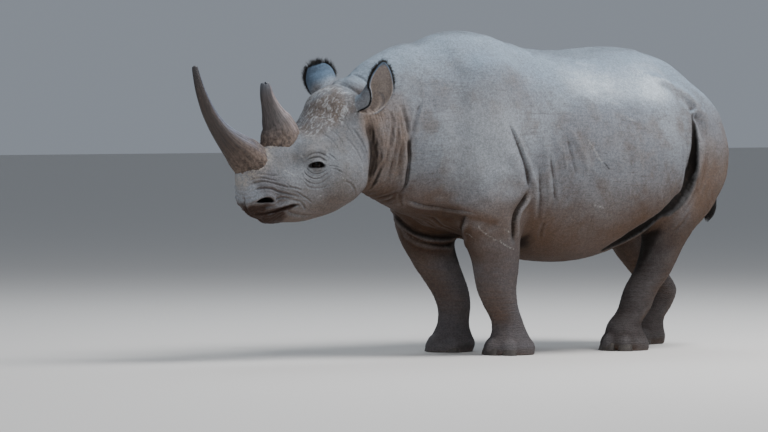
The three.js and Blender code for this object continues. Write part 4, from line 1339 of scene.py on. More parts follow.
# %% Marks in several steps
lips = at_head * ramp(u + 22 * lattice(skin, 40, 6), 560, 664)
lips *= 1 - ramp(v + 16 * lattice(skin, 30, 12), -62, 6)
chin = at_head * ramp(u + 20 * lattice(skin, 30, 13), 520, 580) * (1 - ramp(v, -128, -96))
mouth = np.abs(v + 82 + 0.24 * (672 - u))
mouth = at_head * ramp(u, 455, 520) * np.exp(-((mouth / 15) ** 2))
marks["lips"] = np.maximum(np.maximum(lips, chin), mouth)


def horn_foot(forward, long, broad, radius, width, level):
    """A ring on the skin round the foot of a horn."""
    gap = np.hypot((u - forward) / long, np.abs(x) * broad) - radius
    return np.exp(-((gap / width) ** 2)) * ramp(v, *level)


marks["horn_rim"] = at_head * np.maximum(horn_foot(560, 1.25, 1.1, 84, 16, (20, 90)),
                                         horn_foot(372, 1.4, 1.35, 76, 14, (60, 110)))
lining = np.zeros(len(skin))
for name in EARS:
    side = EARS[name]["side"]
    middle = smooth_line(EARS[name]["line"], 60) * (side, 1, 1)
    mine = np.nonzero(on_ear & (x * side > 0))[0]
    nearest = ((skin[mine][:, None] - middle[None]) ** 2).sum(2).argmin(1)
    lining[mine] = ramp(((middle[nearest] - skin[mine]) * normals[mine]).sum(1), 0, 14)
mine = np.nonzero((z > 1140) & (y < -640) & ~on_ear)[0]
for line in EAR_HOLLOWS:
    depth = 1 - ramp(rope(x[mine], y[mine], z[mine], line), 4, 12)
    lining[mine] = np.maximum(lining[mine], depth)
marks["ear_inside"] = lining
crescent = np.zeros(len(skin))
for side, line in CRESCENTS.items():
    mine = np.nonzero((y > 500) & (y < 1150) & (z > 430) & (z < 1240) & (x * side > 0))[0]
    depth = 1 - ramp(rope(np.abs(x[mine]), y[mine], z[mine], line), 1, 13)
    crescent[mine] = depth * (1 if side > 0 else 0.35)
marks["crescent"] = crescent
print("lips cover", round(float((marks["lips"] > 0.5).mean()), 3), "of the points")

# %% [markdown]
# ## Scars
# Every grown animal carries scratches from thorns and horns. They are thin pale lines, laid
# on the left side like the folds: view, half width and points. One wound is fresh and dark.

# %% Scars and a wound
SCARS = [
    ("side", 2.5, [(-270, 672), (-234, 618), (-172, 575), (-150, 568)]),
    ("side", 2.5, [(-146, 572), (-110, 548), (-72, 532), (-40, 522)]),
    ("side", 2.5, [(-140, 634), (-100, 612), (-60, 592)]),
    ("side", 2.2, [(-262, 604), (-246, 580), (-230, 562)]),
    ("side", 4, [(300, 1062), (332, 1012), (362, 962), (380, 945)]),
    ("side", 4, [(350, 734), (382, 730), (412, 716)]),
    ("side", 2.5, [(520, 1180), (560, 1160), (596, 1150)]),
    ("side", 2.5, [(470, 1250), (500, 1236), (540, 1232)]),
    ("head", 3, [(466, 52), (460, 40), (454, 26)]), ("head", 3, [(452, 24), (446, 14), (440, 4)]),
    ("head", 3, [(404, -76), (402, -90)]), ("head", 3, [(364, -138), (350, -146)]),
    ("head", 3, [(366, 80), (362, 68)]), ("head", 3, [(230, -110), (214, -140)]),
]
scar = np.zeros(len(skin))
for view, width, line in SCARS:
    laid = lay(view, line, 1, 24)
    if laid is None:
        continue
    index, d, place, _ = near_line(skin, laid, width * 4)
    thin = width * (0.5 + 0.5 * np.sin(np.pi * place))
    scar[index] = np.maximum(scar[index], np.exp(-((d / thin) ** 2)))
wound = lay("side", [(384, 944), (392, 938), (404, 924), (412, 916)], 1, 24)
index, d, _, _ = near_line(skin, wound, 40)
marks["scar"], marks["wound"] = scar, np.zeros(len(skin))
marks["wound"][index] = np.exp(-((d / 6) ** 2))
print("scars:", len(SCARS), "wound points:", len(index))

# %% [markdown]
# ## Into the packed frame
# The eye's place is known both in the packed frame and in the tables, so it tells how far
# the packed frame is moved from the one the tables use.

# %% Placing
eye_low, eye_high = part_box("eye_left")
eye_y, eye_z = from_head(EYE_AT[1], EYE_AT[2])
SHIFT = np.array((eye_low + eye_high) / 2) - np.array([EYE_AT[0], eye_y, eye_z]) * MM
print("shift", SHIFT.round(4))


def row(points):
    """From the tables' millimetres to the packed frame's metres."""
    return np.asarray(points, float) * MM + SHIFT


def piece(name, mesh, material, slot, *replaced):
    """A visible piece that rides on the model and may stand for packed nodes."""
    thing = bpy.data.objects.new(name, mesh)
    bpy.context.scene.collection.objects.link(thing)
    mesh.materials.append(material)
    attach(thing, "root")
    if replaced:
        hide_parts(*replaced)
    return thing


def store(mesh, name, values):
    """Keeps one number, or three, for every point of a mesh."""
    values = np.asarray(values, np.float32)
    kind, field = ("FLOAT", "value") if values.ndim == 1 else ("FLOAT_VECTOR", "vector")
    mesh.attributes.new(name, kind, "POINT").data.foreach_set(field, values.ravel())


print("ways to place: row, piece, store")

# %% [markdown]
# ## A short way to write materials
# A material is a net of nodes. The class below wraps a socket, so that sums read as
# sums, and one method adds any node.

# %% Wires
def tint(code):
    """A colour written as six hexadecimal digits, in the linear values that nodes use."""
    parts = [int(code[n:n + 2], 16) / 255 for n in (0, 2, 4)]
    return [p / 12.92 if p < 0.04045 else ((p + 0.055) / 1.055) ** 2.4 for p in parts] + [1]


class Wire:
    """A socket that can be added to, taken from and multiplied."""
    def __init__(self, paint, socket):
        self.paint, self.socket = paint, socket

    def sum(self, operation, first, second):
        return self.paint.node("Math", {"operation": operation}, {0: first, 1: second})

    def __add__(self, other):
        return self.sum("ADD", self, other)

    def __radd__(self, other):
        return self.sum("ADD", other, self)

    def __sub__(self, other):
        return self.sum("SUBTRACT", self, other)

    def __rsub__(self, other):
        return self.sum("SUBTRACT", other, self)

    def __mul__(self, other):
        return self.sum("MULTIPLY", self, other)

    def __rmul__(self, other):
        return self.sum("MULTIPLY", other, self)


print("a middle grey in linear values:", round(tint("808080")[0], 3))

# %% [markdown]
# ## Paints
# A paint is one material. Its own methods are the few things that every coat needs: a mark
# kept on the mesh, a grain, cracks, a soft step and layers of colour.

# %% Paints
class Paint:
    """A material, and one method that adds any node to it."""

    def __init__(self, name, fixed):
        self.material = bpy.data.materials.new(name)
        self.material.use_nodes = True
        self.tree = self.material.node_tree
        self.surface = self.tree.nodes["Principled BSDF"]
        for key, value in fixed.items():
            self.surface.inputs[key].default_value = value

    def node(self, kind, settings=None, values=None, output=0):
        made = self.tree.nodes.new("ShaderNode" + kind)
        for key, value in (settings or {}).items():
            setattr(made, key, value)
        for key, value in (values or {}).items():
            if isinstance(value, Wire):
                self.tree.links.new(value.socket, made.inputs[key])
            else:
                made.inputs[key].default_value = value
        return Wire(self, made.outputs[output])

    def stored(self, name):
        return self.node("Attribute", {"attribute_name": name}, output="Fac")
    def stored_axes(self, name):
        return self.node("Attribute", {"attribute_name": name}, output="Vector")

    def place(self):
        return self.node("TexCoord", output="Object")

    def stretched(self, vector, x, y, z):
        return self.node("VectorMath", {"operation": "MULTIPLY"}, {0: vector, 1: (x, y, z)})

    def grain(self, vector, scale, detail=4.0, roughness=0.55, distortion=0.0):
        values = {"Vector": vector, "Scale": scale, "Detail": detail, "Roughness": roughness,
                  "Distortion": distortion}
        return self.node("TexNoise", None, values, "Fac")

    def cracks(self, vector, scale):
        """Distance from the walls between irregular cells, 0 on a wall."""
        return self.node("TexVoronoi", {"feature": "DISTANCE_TO_EDGE"},
                         {"Vector": vector, "Scale": scale}, "Distance")

    def between(self, value, low, high, start=0.0, end=1.0):
        """Value from low to high, spread over start to end and held there."""
        return self.node("MapRange", {"interpolation_type": "SMOOTHSTEP"},
                         {0: value, 1: low, 2: high, 3: start, 4: end})

    def mix(self, first, second, share, how="MIX"):
        return self.node("Mix", {"data_type": "RGBA", "blend_type": how},
                         {0: share, 6: first, 7: second}, 2)

    def coats(self, base, layers):
        """Colours laid over one another, each with its share."""
        colour = tint(base)
        for code, share in layers:
            colour = self.mix(colour, tint(code), share)
        return colour

    def relief(self, height, strength, distance):
        values = {"Height": height, "Strength": strength, "Distance": distance}
        return self.node("Bump", None, values)

    def wear(self, name, wire):
        self.tree.links.new(wire.socket, self.surface.inputs[name])


print("a paint can:", *(name for name in vars(Paint) if not name.startswith("_")))

# %% [markdown]
# ## Hide
# Hide is thick grey skin with a grain of small cells, powdered with pale dust. The
# colour goes on in layers: grey, painted sky light on top, painted warm shade below,
# dirt and painted shade in hollows, painted highlights, dark legs and lips, pale mud.

# %% Hide colours
p = hide_paint = Paint("hide", {"Specular IOR Level": 0.22})
where = p.place()
slow = p.grain(where, 2.3, 5, 0.6)
patch = p.grain(where, 8.5, 6, 0.62)
speck = p.grain(where, 75, 5, 0.7)
dots = p.grain(where, 150, 3, 0.6)
drips = p.grain(p.stretched(where, 16, 16, 1.7), 1.0, 5, 0.6)
streaks = p.grain(p.stretched(where, 13, 13, 110), 1.0, 6, 0.7)
flakes = p.between(p.grain(p.stretched(where, 62, 26, 34), 1.0, 8, 0.75, 0.8), 0.5, 0.58)


def broken(name, grain, low, high, start, end):
    """The share of a stored mark, broken up by a grain."""
    return p.stored(name) * p.between(grain, low, high, start, end)


# Damp dirt and painted shade in the fine creases.
crease_dirt_and_shade = broken("crease", patch, 0.3, 0.6, 0.35, 1.0)
colour = p.coats("76787d", [
    # Grey hide with paler and browner patches and streaks.
    ("8e949a", p.between(slow, 0.42, 0.66, 0, 0.75)),
    ("6c625b", p.between(patch, 0.46, 0.68, 0, 0.55)),
    ("8b8e92", p.between(drips, 0.52, 0.72, 0, 0.4)),
    # The next colour, brown lower down and at the rear, is a painted warm shade.
    ("655040", broken("low", slow, 0.3, 0.7, 0.75, 0.5)),
    ("564d48", p.between(streaks, 0.5, 0.7, 0, 0.5)),
    # Painted sky light and pale dust on the top, painted shade on the spine, a painted
    # highlight on the upper flank, and the paler and darker parts of head and body.
    ("879cad", p.stored("top") * 0.6),
    ("626a72", broken("spine", patch, 0.3, 0.7, 0.9, 0.5)),
    ("c9d3da", broken("lit", slow, 0.35, 0.62, 0.35, 0.9)),
    ("757473", broken("face", patch, 0.35, 0.6, 0.25, 0.6)),
    ("5d5c60", p.stored("nose") * 0.7),
    # The next colour is painted light on the muzzle's front.
    ("a6adb6", broken("muzzle", patch, 0.3, 0.6, 0.5, 0.85)),
    ("9da1a6", broken("dusty", slow, 0.35, 0.65, 0.45, 0.75)),
    # The next colour is a painted warm shade on the neck behind the cheek.
    ("776558", broken("neck", patch, 0.3, 0.6, 0.5, 0.8)),
    ("514d4f", broken("leg", patch, 0.3, 0.7, 0.95, 0.72)),
    ("342c29", broken("haunch", patch, 0.3, 0.7, 0.9, 0.66)),
    # Painted warm shade on faces that look down, and a painted brown shadow in the armpit and
    # throat.
    ("5c4330", broken("below", slow, 0.3, 0.7, 0.75, 0.55)),
    ("3d2818", broken("brisket", patch, 0.3, 0.6, 0.9, 0.7)),
    # Painted shade deep in folds and in the crescent before the thigh, damp dirt and painted
    # shade in creases and hollows, and pale dust and painted light on the swellings.
    ("170e08", p.between(p.stored("shut_in"), 0, 0.9, 0, 0.88)),
    ("0d0805", p.stored("crescent") * 0.93),
    ("43362e", p.between(p.stored("sunk"), 0.1, 0.9, 0, 0.5)),
    ("9a9a9b", p.stored("raised") * 0.3),
    ("33261f", p.between(crease_dirt_and_shade, 0.1, 1.0, 0, 0.6)),
    # Lips, ears and eyelids.
    ("2e1a0e", p.between(p.stored("lips") + patch * 0.5, 0.45, 1.05, 0, 0.95)),
    ("3f5d78", p.stored("ear") * 0.65),
    ("95887f", p.stored("ear_inside") * 0.85),
    ("120c0a", p.stored("lid") * 0.92),
    # Dried mud on the brow, the horns' feet, scars, the wound, and painted shade in the nostrils.
    ("6c5c50", broken("mud", patch, 0.35, 0.6, 0.25, 0.65)),
    ("bcc0c2", p.stored("mud") * flakes * 0.6),
    ("9b9288", broken("horn_rim", speck, 0.35, 0.6, 0.2, 0.8)),
    ("b4b3af", broken("scar", speck, 0.35, 0.6, 0.1, 0.55)),
    ("0d0a09", p.between(p.stored("wound") * speck, 0.2, 0.5, 0, 0.9)),
    ("080504", p.stored("pit")),
])
cells = p.cracks(where, 210)
shade = p.between(speck, 0.25, 0.75, 0.74, 1.16) * p.between(dots, 0.3, 0.7, 0.88, 1.08)
shade = shade * p.between(cells, 0.0, 0.12, 0.86, 1.0)
grey = p.node("CombineColor", None, {0: shade, 1: shade, 2: shade})
p.wear("Base Color", p.mix(colour, grey, 1.0, "MULTIPLY"))
print("hide colours:", len(hide_paint.tree.nodes), "nodes")

# %% [markdown]
# ## The feel of hide
# Hide is dull and dry, and a little smoother where it is damp. Its finest relief is cells,
# cracks and rows of lines, too fine for the net, so they are a bump in the paint.

# %% Hide surface
bare = p.stored("lips") * 0.3 + p.stored("eye_hole") * 0.3
p.wear("Roughness", p.between(speck, 0.2, 0.8, 0.74, 0.9) - bare)


def rows_along(axis, scale, distortion, detail_scale):
    """Wavering lines side by side along an axis."""
    return p.node("TexWave", {"wave_type": "BANDS", "bands_direction": axis},
                  {"Vector": where, "Scale": scale, "Distortion": distortion, "Detail": 3,
                   "Detail Scale": detail_scale}, "Fac")


swirl = p.node("TexNoise", None, {"Vector": where, "Scale": 9}, "Color")
plates = p.cracks(p.node("VectorMath", {"operation": "ADD"}, {0: where, 1: swirl}), 34)
height = p.between(cells, 0, 0.16, 0, 0.35) + p.between(plates, 0, 0.10, 0, 0.5)
height = height + speck * 0.35 + patch * 0.5
height = height + rows_along("Z", 26, 7, 1.6) * p.stored("rings") * 0.9
height = height + rows_along("Y", 20, 6, 1.4) * p.stored("upright") * 0.4
p.wear("Normal", p.relief(height, 0.55, 0.004))
flesh_nodes = [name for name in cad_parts
               if name in ("trunk", "neck", "head", "lower_jaw", "tail")
               or name.startswith(("leg_", "foot_", "ear_"))]
hide = piece("hide", bare_mesh("hide", row(skin), faces), p.material, "skin", *flesh_nodes)
for name, values in marks.items():
    store(hide.data, name, values)
print("hide", len(hide.data.vertices), "points", len(hide.data.polygons), "faces")

# %% [markdown]
# ## Horns
# A horn is a bundle of fine hard fibres, like packed hair, worn smooth above and ragged
# at the base. Each horn is a stack of rings along its own curve, with upright ridges that
# fade towards the tip.

# %% Horn shapes
FRONT_HORN = [  # y, z, half depth, half width
    (-1356, 930, 82, 78), (-1384, 958, 94, 87), (-1424, 992, 89, 80), (-1473, 1030, 73, 65),
    (-1521, 1068, 58, 50), (-1564, 1109, 47, 41), (-1602, 1155, 39, 34), (-1634, 1204, 34, 30),
    (-1660, 1256, 29, 26), (-1682, 1308, 24, 22), (-1699, 1362, 19, 18), (-1709, 1400, 16, 14),
    (-1712, 1419, 12, 11),
]
REAR_HORN = [
    (-1206, 1008, 112, 80), (-1211, 1058, 109, 76), (-1219, 1098, 101, 70),
    (-1231, 1136, 87, 58), (-1247, 1167, 72, 46), (-1261, 1199, 57, 37), (-1275, 1233, 46, 30),
    (-1289, 1267, 38, 25), (-1297, 1302, 32, 21), (-1302, 1326, 26, 17), (-1304, 1341, 19, 12),
]


def horn_mesh(table, seed, notch, rings=170, sides=120):
    """Rings of fibres along a horn's curve; notch is how deep its tip is worn, in mm."""
    line = smooth_line(table, rings)
    middle, depth, width = line[:, :2], line[:, 2], line[:, 3]
    along = unit(np.gradient(middle, axis=0))
    place = np.linspace(0, 1, rings)
    turn = np.linspace(0, 2 * np.pi, sides, endpoint=False)
    tall, around = np.meshgrid(place, turn, indexing="ij")
    rim = np.stack([np.cos(around), np.sin(around), 0 * tall], -1).reshape(-1, 3)
    upright = tall.reshape(-1, 1) * (0, 0, 1)
    fibre_place = rim * 10 + upright * 16
    fibres = 0.6 * lattice(fibre_place, 1.1, seed) + 0.4 * lattice(fibre_place, 0.45, seed + 1)
    lumps = lattice(rim * 10 + upright * 40, 5.0, seed + 2)
    ragged = 1 - ramp(tall.ravel(), 0.1, 0.55)
    swell = 1 + fibres * (0.012 + 0.045 * ragged) + lumps * (0.01 + 0.02 * ragged)
    rounding = np.sqrt(np.clip((1 - place) / 0.035, 0, 1))[:, None]
    swell = swell.reshape(rings, sides) * rounding * (1 + 0.04 * np.cos(4 * around))
    out = depth[:, None] * np.cos(around) * swell
    x = -width[:, None] * np.sin(around) * swell
    y = middle[:, :1] + along[:, 1:] * out
    z = middle[:, 1:] - along[:, :1] * out
    z = z - notch * ramp(tall, 0.9, 1) * bump_at(np.cos(around), -0.15, 0.3)
    points, triangles = closed_tube(np.stack([x, y, z], -1).reshape(-1, 3), rings, sides)
    return points, triangles, np.vstack([rim + upright, [[0, 0, 0], [0, 0, 1]]])


print("horn tables:", len(FRONT_HORN), "and", len(REAR_HORN), "sections")

# %% [markdown]
# ## Horn colours
# The foot is pale and pitted, the front face dark, the back edge has a painted highlight
# (on the front horn a painted reflection of blue sky) and the worn tip is nearly black.
# Fibres run from foot to tip, so the grain is stretched that way.

# %% Horns
def horn_paint(name, front, back, tip):
    """The horn's colours: its front, a painted highlight on its back edge, and its worn tip."""
    p = Paint(name, {})
    fibre = p.stored_axes("fibre")
    tall = p.node("SeparateXYZ", None, {0: fibre}, "Z")
    behind = p.node("SeparateXYZ", None, {0: fibre}, "X")
    behind = p.between(behind, 0.1, 0.85)
    streaks = p.grain(p.stretched(fibre, 9, 9, 5), 1.0, 6, 0.65)
    fine = p.grain(p.stretched(fibre, 42, 42, 9), 1.0, 4, 0.7)
    pitted = p.grain(p.place(), 55, 6, 0.7, 0.4)
    body = p.coats(front, [
        # The back colour is a painted highlight along the back edge.
        (back, behind * p.between(streaks, 0.3, 0.6, 1, 0.65)),
        ("211a17", p.between(streaks, 0.42, 0.6, 0, 0.8)),
        ("8a7f77", p.between(fine, 0.54, 0.72, 0, 0.42)),
        ("1e1a19", p.between(tall, 0.12, 0.45, 0, 0.5) * p.between(behind, 0.1, 0.9, 1, 0)),
    ])
    foot = p.coats("6f5f53", [("372c26", p.between(pitted, 0.36, 0.64))])
    body = p.mix(foot, body, p.between(tall, 0.06, 0.4, 0.15, 1))
    body = p.mix(body, tint(tip), p.between(tall, 0.66, 0.97, 0, 0.8))
    p.wear("Base Color", body)
    worn = p.between(fine, 0.3, 0.7, -0.06, 0.08)
    p.wear("Roughness", p.between(tall, 0.1, 0.6, 0.82, 0.46) + worn)
    height = fine * 0.6 + streaks * 0.5 + pitted * p.between(tall, 0.05, 0.45, 1.2, 0.15)
    p.wear("Normal", p.relief(height, 0.6, 0.005))
    return p.material


# Colours: front, the painted highlight of the back edge (painted blue sky on the front horn), tip.
for name, table, seed, notch, colours in (
        ("front", FRONT_HORN, 101, 0, ("493830", "6d7a91", "302e31")),
        ("rear", REAR_HORN, 131, 12, ("564c4a", "aa9c9c", "40454e"))):
    points, triangles, fibre = horn_mesh(table, seed, notch)
    node = "horn_" + name
    mesh = bare_mesh(node, row(points), triangles)
    store(mesh, "fibre", fibre)
    piece(name + "_horn", mesh, horn_paint(node, *colours), "horn", node)
    print(node, len(points), "points")

# %% [markdown]
# ## Eyes
# The eye is small, dark and wet. It is a ball with a clear bulge in front, set well back
# behind the lids. The pupil and the brown ring round it lie on the ball itself.

# %% Eyeballs
p = eye_paint = Paint("wet_eye", {"Roughness": 0.12, "Specular IOR Level": 0.05,
                                  "Coat Weight": 0.22, "Coat IOR": 1.33,
                                  "Coat Roughness": 0.05})
gaze = p.stored("from_pupil")
p.wear("Base Color", p.coats("020202", [
    ("120a06", p.between(gaze, 0.30, 0.36)), ("060403", p.between(gaze, 0.62, 0.72)),
    ("1a1310", p.between(gaze, 0.8, 1.0))]))


def eye_mesh(side, rings=48, sides=64):
    """A ball with a bulge in front, and how far each point is turned from the pupil."""
    polar, turn = grid_of(np.linspace(0, np.pi, rings),
                          np.linspace(0, 2 * np.pi, sides, endpoint=False))
    # The line of sight runs out to the side and a little forward.
    axis = np.array([0.88 * side, -0.46, 0.06])
    axis /= np.linalg.norm(axis)
    level = np.cross([0, 0, 1], axis)
    level /= np.linalg.norm(level)
    way = (np.outer(np.cos(polar), axis) + np.outer(np.sin(polar) * np.cos(turn), level)
           + np.outer(np.sin(polar) * np.sin(turn), np.cross(axis, level)))
    radius = (EYE_RADIUS - 1.2) * (1 + 0.055 * bump_at(polar, 0, 0.5))
    points = np.array([EYE_AT[0] * side, eye_y, eye_z]) + way * radius[:, None]
    i, j = grid_of(np.arange(rings - 1), np.arange(sides))
    a, b = i * sides + j, i * sides + (j + 1) % sides
    return points, np.stack([a, a + sides, b + sides, b], -1), polar


for name, side in (("left", 1), ("right", -1)):
    points, quads, polar = eye_mesh(side)
    mesh = bare_mesh("eye_" + name, row(points), quads)
    store(mesh, "from_pupil", polar / 1.3)
    piece("eyeball_" + name, mesh, eye_paint.material, "eye", "eye_" + name)
print("eyes of", len(points), "points")

# %% [markdown]
# ## Nails
# Each foot has three blunt nails that carry the edge of the foot. A nail is a broad
# shield, flat on the floor, arched from side to side and leaning back.

# %% Nail shields
p = nail_paint = Paint("nail", {})
lines = p.grain(p.stretched(p.stored_axes("fibre"), 60, 6, 6), 1.0, 4, 0.6)
soil = p.grain(p.place(), 70, 5, 0.65)
p.wear("Base Color", p.coats("26221f", [("4a433d", p.between(lines, 0.4, 0.65)),
                                        ("6b6157", p.between(soil, 0.5, 0.72, 0, 0.6))]))
p.wear("Roughness", p.between(soil, 0.3, 0.7, 0.42, 0.72))
p.wear("Normal", p.relief(lines + soil * 0.5, 0.5, 0.003))


def nail_mesh(place, out, width, height, across=26, up=22):
    """A shield in front and its back, joined round the rim."""
    s, t = grid_of(np.linspace(-1, 1, across), np.linspace(0, 1, up))
    crown = np.sqrt(np.clip(1 - (s * 0.94) ** 2, 0, 1))
    half = (width + 1) * (1 - 0.16 * t)
    tall = height * 1.12 * (0.45 + 0.55 * crown)
    side = np.array([-out[1], out[0]])
    thick = 9 * (1 - 0.75 * t**2) * (1 - 0.6 * np.abs(s) ** 3)
    reach = 15 * crown + 2 - 12 * t + thick
    grown = np.column_stack([s, t, 0 * t])
    front = np.column_stack([place + np.outer(reach, out) + np.outer(s * half, side), t * tall])
    inner = np.outer(reach - thick - 22, out) + np.outer(s * half * 0.8, side)
    back = np.column_stack([place + inner, t * tall * 0.94])
    front[:, :2] += np.outer(1.3 * lattice(front, 16, 7), out)
    front[:, 2] = np.maximum(front[:, 2], 0.3)
    i, j = grid_of(np.arange(across - 1), np.arange(up - 1))
    a = i * up + j
    shield = np.stack([a, a + up, a + up + 1, a + 1], -1)
    behind = len(front)
    rim = np.r_[np.arange(across) * up, (across - 1) * up + np.arange(1, up),
                (np.arange(across - 1)[::-1]) * up + up - 1, np.arange(1, up - 1)[::-1]]
    after = np.roll(rim, -1)
    edge = np.stack([rim, rim + behind, after + behind, after], -1)
    quads = np.concatenate([shield, shield[:, ::-1] + behind, edge])
    return np.vstack([front, back]), quads, np.vstack([grown, grown])


for foot in STANCE:
    for toe, place, out, width, height in toe_places(foot):
        points, quads, grown = nail_mesh(place, out, width, height)
        name = f"nail_{foot}_{toe}"
        mesh = bare_mesh(name, row(points), quads)
        store(mesh, "fibre", grown)
        piece(f"hoof_{foot}_{toe}", mesh, nail_paint.material, "nail", name)
print("nails", 3 * len(STANCE))

# %% [markdown]
# ## Hair
# The animal is almost bare. Short stiff hair edges the ears, and long bristles hang from the
# tail. Each hair is a thin tapering blade with three sides. All hairs of one place are one
# mesh, and each hair has its own small patch in the map.

# %% Hair blades
p = hair_paint = Paint("hair", {"Roughness": 0.6})
p.wear("Base Color", p.coats("0b0a0a", [("2c2520", p.between(p.stored("strand"), 0.5, 1.0))]))
random = np.random.default_rng(7)
SIDES = 3
PATCH = 0.003  # size of one blade's patch in the map


def hair_mesh(name, middles, width, homes):
    """Blades along given middle lines; homes are the places of their roots in the map."""
    count, steps = len(middles), middles.shape[1] - 1
    per_blade = SIDES * (steps + 1)
    ways = unit(middles[:, -1] - middles[:, 0])
    side = unit(np.cross(ways, random.normal(size=(count, 3))))
    other = np.cross(ways, side)
    points = []
    for step in range(steps + 1):
        thick = width * (1 - step / steps) ** 0.7 + 0.12
        for turn in (0, 2.094, 4.189):
            out = math.cos(turn) * side + math.sin(turn) * other
            points.append(middles[:, step] + thick * out)
    points = np.stack(points, 1).reshape(-1, 3)
    base = np.arange(count)[:, None] * per_blade
    quads = []
    for low in range(0, SIDES * steps, SIDES):
        for n in range(SIDES):
            m, high = (n + 1) % SIDES, low + SIDES
            quads.append(base + np.array([[low + n, low + m, high + m, high + n]]))
    quads = np.concatenate(quads)
    mesh = bare_mesh(name, row(points), quads)
    place = np.tile(np.repeat(np.arange(steps + 1) / steps, SIDES), count)
    tone = np.repeat(random.random(count), per_blade)
    store(mesh, "strand", np.clip(place * 0.6 + tone * 0.6, 0, 1))
    # In its patch, a blade has its sides across and its length upward.
    blade, local = np.divmod(quads.ravel(), per_blade)
    inside = np.stack([(local % SIDES) / 2, (local // SIDES) / steps], -1) - 0.5
    uv = np.clip(homes[blade] + PATCH * inside, 0, 1)
    layer = mesh.uv_layers.new(name="OFBake")
    layer.data.foreach_set("uv", uv.astype(np.float32).ravel())
    return mesh


print("a blade has", SIDES, "sides")

# %% [markdown]
# ## Ear fringes
# The fringe starts part of the way up each edge of the cup and is longest round the tip.
# Most hairs stand on the back edge. They point outward and a little forward, none alike.

# %% Ear fringes
def ear_fringe(name, count, steps=4):
    """Middle lines of hairs along both edges of the cup and round its tip."""
    place = random.random(count) ** 0.7
    edge = np.where(random.random(count) < 0.68, -1, 1)
    starts = EARS[name]["hair"]
    start = np.where(edge < 0, starts[0], starts[1])
    grows = random.random(count) < ramp(place, start - 0.05, start + 0.12)
    place, edge = place[grows], edge[grows]
    count = len(place)
    centre, along, across, facing, half, reach, flat = ear_frame(name, place)
    angle = edge * (reach - random.random(count) * 5 / np.maximum(half, 8))
    angle = np.where(place > 0.93, reach * random.uniform(-1, 1, count), angle)
    radius = half - 5 + random.random(count) * 5
    root = (centre + across * (radius * np.sin(angle))[:, None]
            - facing * (radius * np.cos(angle) * flat)[:, None])
    outward = across * np.sin(angle)[:, None] - facing * (np.cos(angle) * flat)[:, None]
    way = outward * (1 - 0.5 * place**3)[:, None] + along * (0.3 + 0.9 * place**4)[:, None]
    way += facing * (random.normal(size=count) * 0.25 + 0.1)[:, None]
    way = unit(way + random.normal(size=(count, 3)) * 0.18)
    uneven_length = 0.35 + 0.95 * random.random(count) ** 2
    length = starts[2] * (0.55 + 0.45 * ramp(place, 0.45, 0.9)) * uneven_length
    t = np.linspace(0, 1, steps + 1)[None, :, None]
    curl = random.normal(size=(count, 1, 3)) * 0.16
    middles = root[:, None] + (way[:, None] * t + curl * t * t) * length[:, None, None]
    middles[..., 0] *= EARS[name]["side"]
    home = np.column_stack([0.5 + edge * 0.4 * place, 0.2 + 0.6 * (radius / half)])
    return middles, home


for name, count in (("left", 5200), ("right", 3400)):
    middles, home = ear_fringe(name, count)
    mesh = hair_mesh("fringe", middles, 0.8, home)
    piece("ear_fringe_" + name, mesh, hair_paint.material, "hair")
    print("ear fringe", name, len(middles), "hairs")

# %% [markdown]
# ## Tail tuft
# The bristles leave the last hand's breadth of the tail and close to a point. They follow a
# line of their own: x, y, z and the bundle's half width.

# %% Tail tuft
TUFT = [
    (64, 1467, 880, 15), (75, 1460, 806, 11), (79, 1458, 765, 12), (76, 1455, 726, 16),
    (66, 1452, 690, 20), (54, 1448, 655, 18), (44, 1444, 626, 5),
]


def tuft_hairs(count, steps=8):
    """Middle lines of bristles, each along a part of the bundle."""
    line = smooth_line(TUFT, 200)
    start = random.random(count) ** 0.8 * 0.5
    end = np.minimum(start + 0.34 + 0.2 * random.random(count), 1)
    turn = random.random(count) * 2 * np.pi
    spread = 0.9 + 0.14 * random.normal(size=count)
    place = start[:, None] + (end - start)[:, None] * np.linspace(0, 1, steps + 1)
    shares = np.linspace(0, 1, len(line))
    x, y, z, half = (np.interp(place, shares, line[:, n]) for n in range(4))
    out = half * spread[:, None] * np.linspace(0.9, 1.1, steps + 1)
    turn = turn[:, None]
    home = np.column_stack([turn / (2 * np.pi), 0.05 + 0.9 * start])
    return np.stack([x + out * np.cos(turn), y + out * np.sin(turn), z], -1), home


middles, home = tuft_hairs(1900)
mesh = hair_mesh("tuft", middles, 1.1, home)
piece("tail_tuft_hair", mesh, hair_paint.material, "hair", "tail_tuft")
print("tuft", len(middles), "bristles")

# %% [markdown]
# ## Studio
# A pale floor, a strong lamp high behind the left side, two soft ones and a pale blue room.
# Cameras and lamps are placed the same way: by direction and distance from what they face.

# %% Camera
def facing(name, data, azimuth, elevation, distance, aim):
    """Puts a camera or lamp at a distance from aim, turned to look at it."""
    a, e = math.radians(azimuth), math.radians(elevation)
    back = Vector((math.sin(a) * math.cos(e), -math.cos(a) * math.cos(e), math.sin(e)))
    thing = bpy.data.objects.new(name, data)
    bpy.context.scene.collection.objects.link(thing)
    thing.location = Vector(aim) + back * distance
    thing.rotation_euler = back.to_track_quat("Z", "Y").to_euler()
    return thing


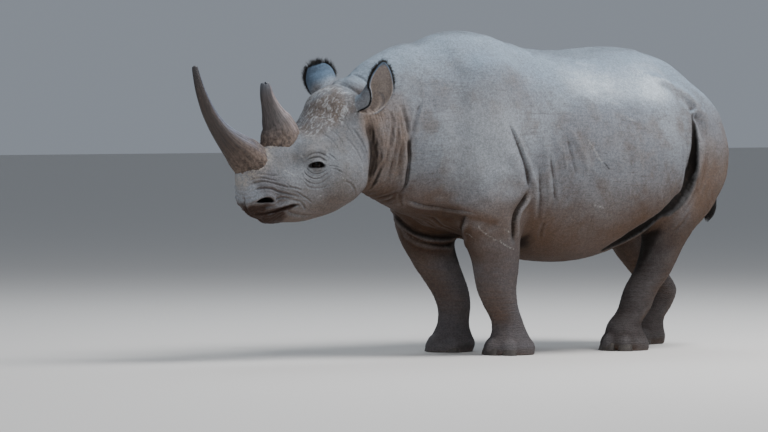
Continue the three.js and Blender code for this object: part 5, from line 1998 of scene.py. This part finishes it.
AZIMUTH, ELEVATION, DISTANCE = 53, 1.5, 25  # degrees, degrees, metres
a, e = math.radians(AZIMUTH), math.radians(ELEVATION)
right = np.array([math.cos(a), math.sin(a), 0])
up = np.array([-math.sin(a) * math.sin(e), math.cos(a) * math.sin(e), math.cos(e)])
lens = bpy.data.cameras.new("camera")
lens.lens, lens.sensor_width, lens.clip_end = 236.7, 36, 200
ACROSS, UPWARD = -0.470, 0.678  # metres from the tables' zero to the middle of the view
aim = row([0, 0, 0]) + ACROSS * right + UPWARD * up
bpy.context.scene.camera = facing("camera", lens, AZIMUTH, ELEVATION, DISTANCE, aim)
print("camera at", [round(v, 2) for v in bpy.context.scene.camera.location])

# %% [markdown]
# ## Lamps and floor
# The strong lamp stands for the sun, and the room's light for the sky.

# %% Lamps and floor
LAMPS = (  # name, azimuth, elevation, distance and size (m), watts, colour
    ("key", 132, 58, 7, 3.5, 790, (0.98, 0.98, 1)),
    ("fill", 50, 28, 8, 6, 230, (0.95, 0.97, 1)),
    ("rim", 230, 50, 7, 4, 180, (0.84, 0.92, 1)),
)
for name, azimuth, elevation, distance, size, watts, color in LAMPS:
    lamp = bpy.data.lights.new(name, "AREA")
    lamp.energy, lamp.size, lamp.color = watts, size, color
    facing(name, lamp, azimuth, elevation, distance, (0, 0, 0.8))
world = bpy.data.worlds.new("room")
bpy.context.scene.world = world
world.use_nodes = True
room = world.node_tree.nodes["Background"].inputs
room["Color"].default_value = (0.74, 0.82, 0.94, 1)
room["Strength"].default_value = 0.33

FLOOR = 60  # metres from its middle to each edge
corners = [(-FLOOR, -FLOOR, 0), (FLOOR, -FLOOR, 0), (FLOOR, FLOOR, 0), (-FLOOR, FLOOR, 0)]
floor = bpy.data.objects.new("floor", bare_mesh("floor", corners, [(0, 1, 2, 3)]))
bpy.context.scene.collection.objects.link(floor)
floor.location.z = cad_low[2]
floor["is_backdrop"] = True
floor_paint = Paint("floor", {"Base Color": (0.62, 0.6, 0.57, 1), "Roughness": 0.9})
floor.data.materials.append(floor_paint.material)
print("lamps:", *(name for name, *_ in LAMPS))

# %% [markdown]
# ## The end
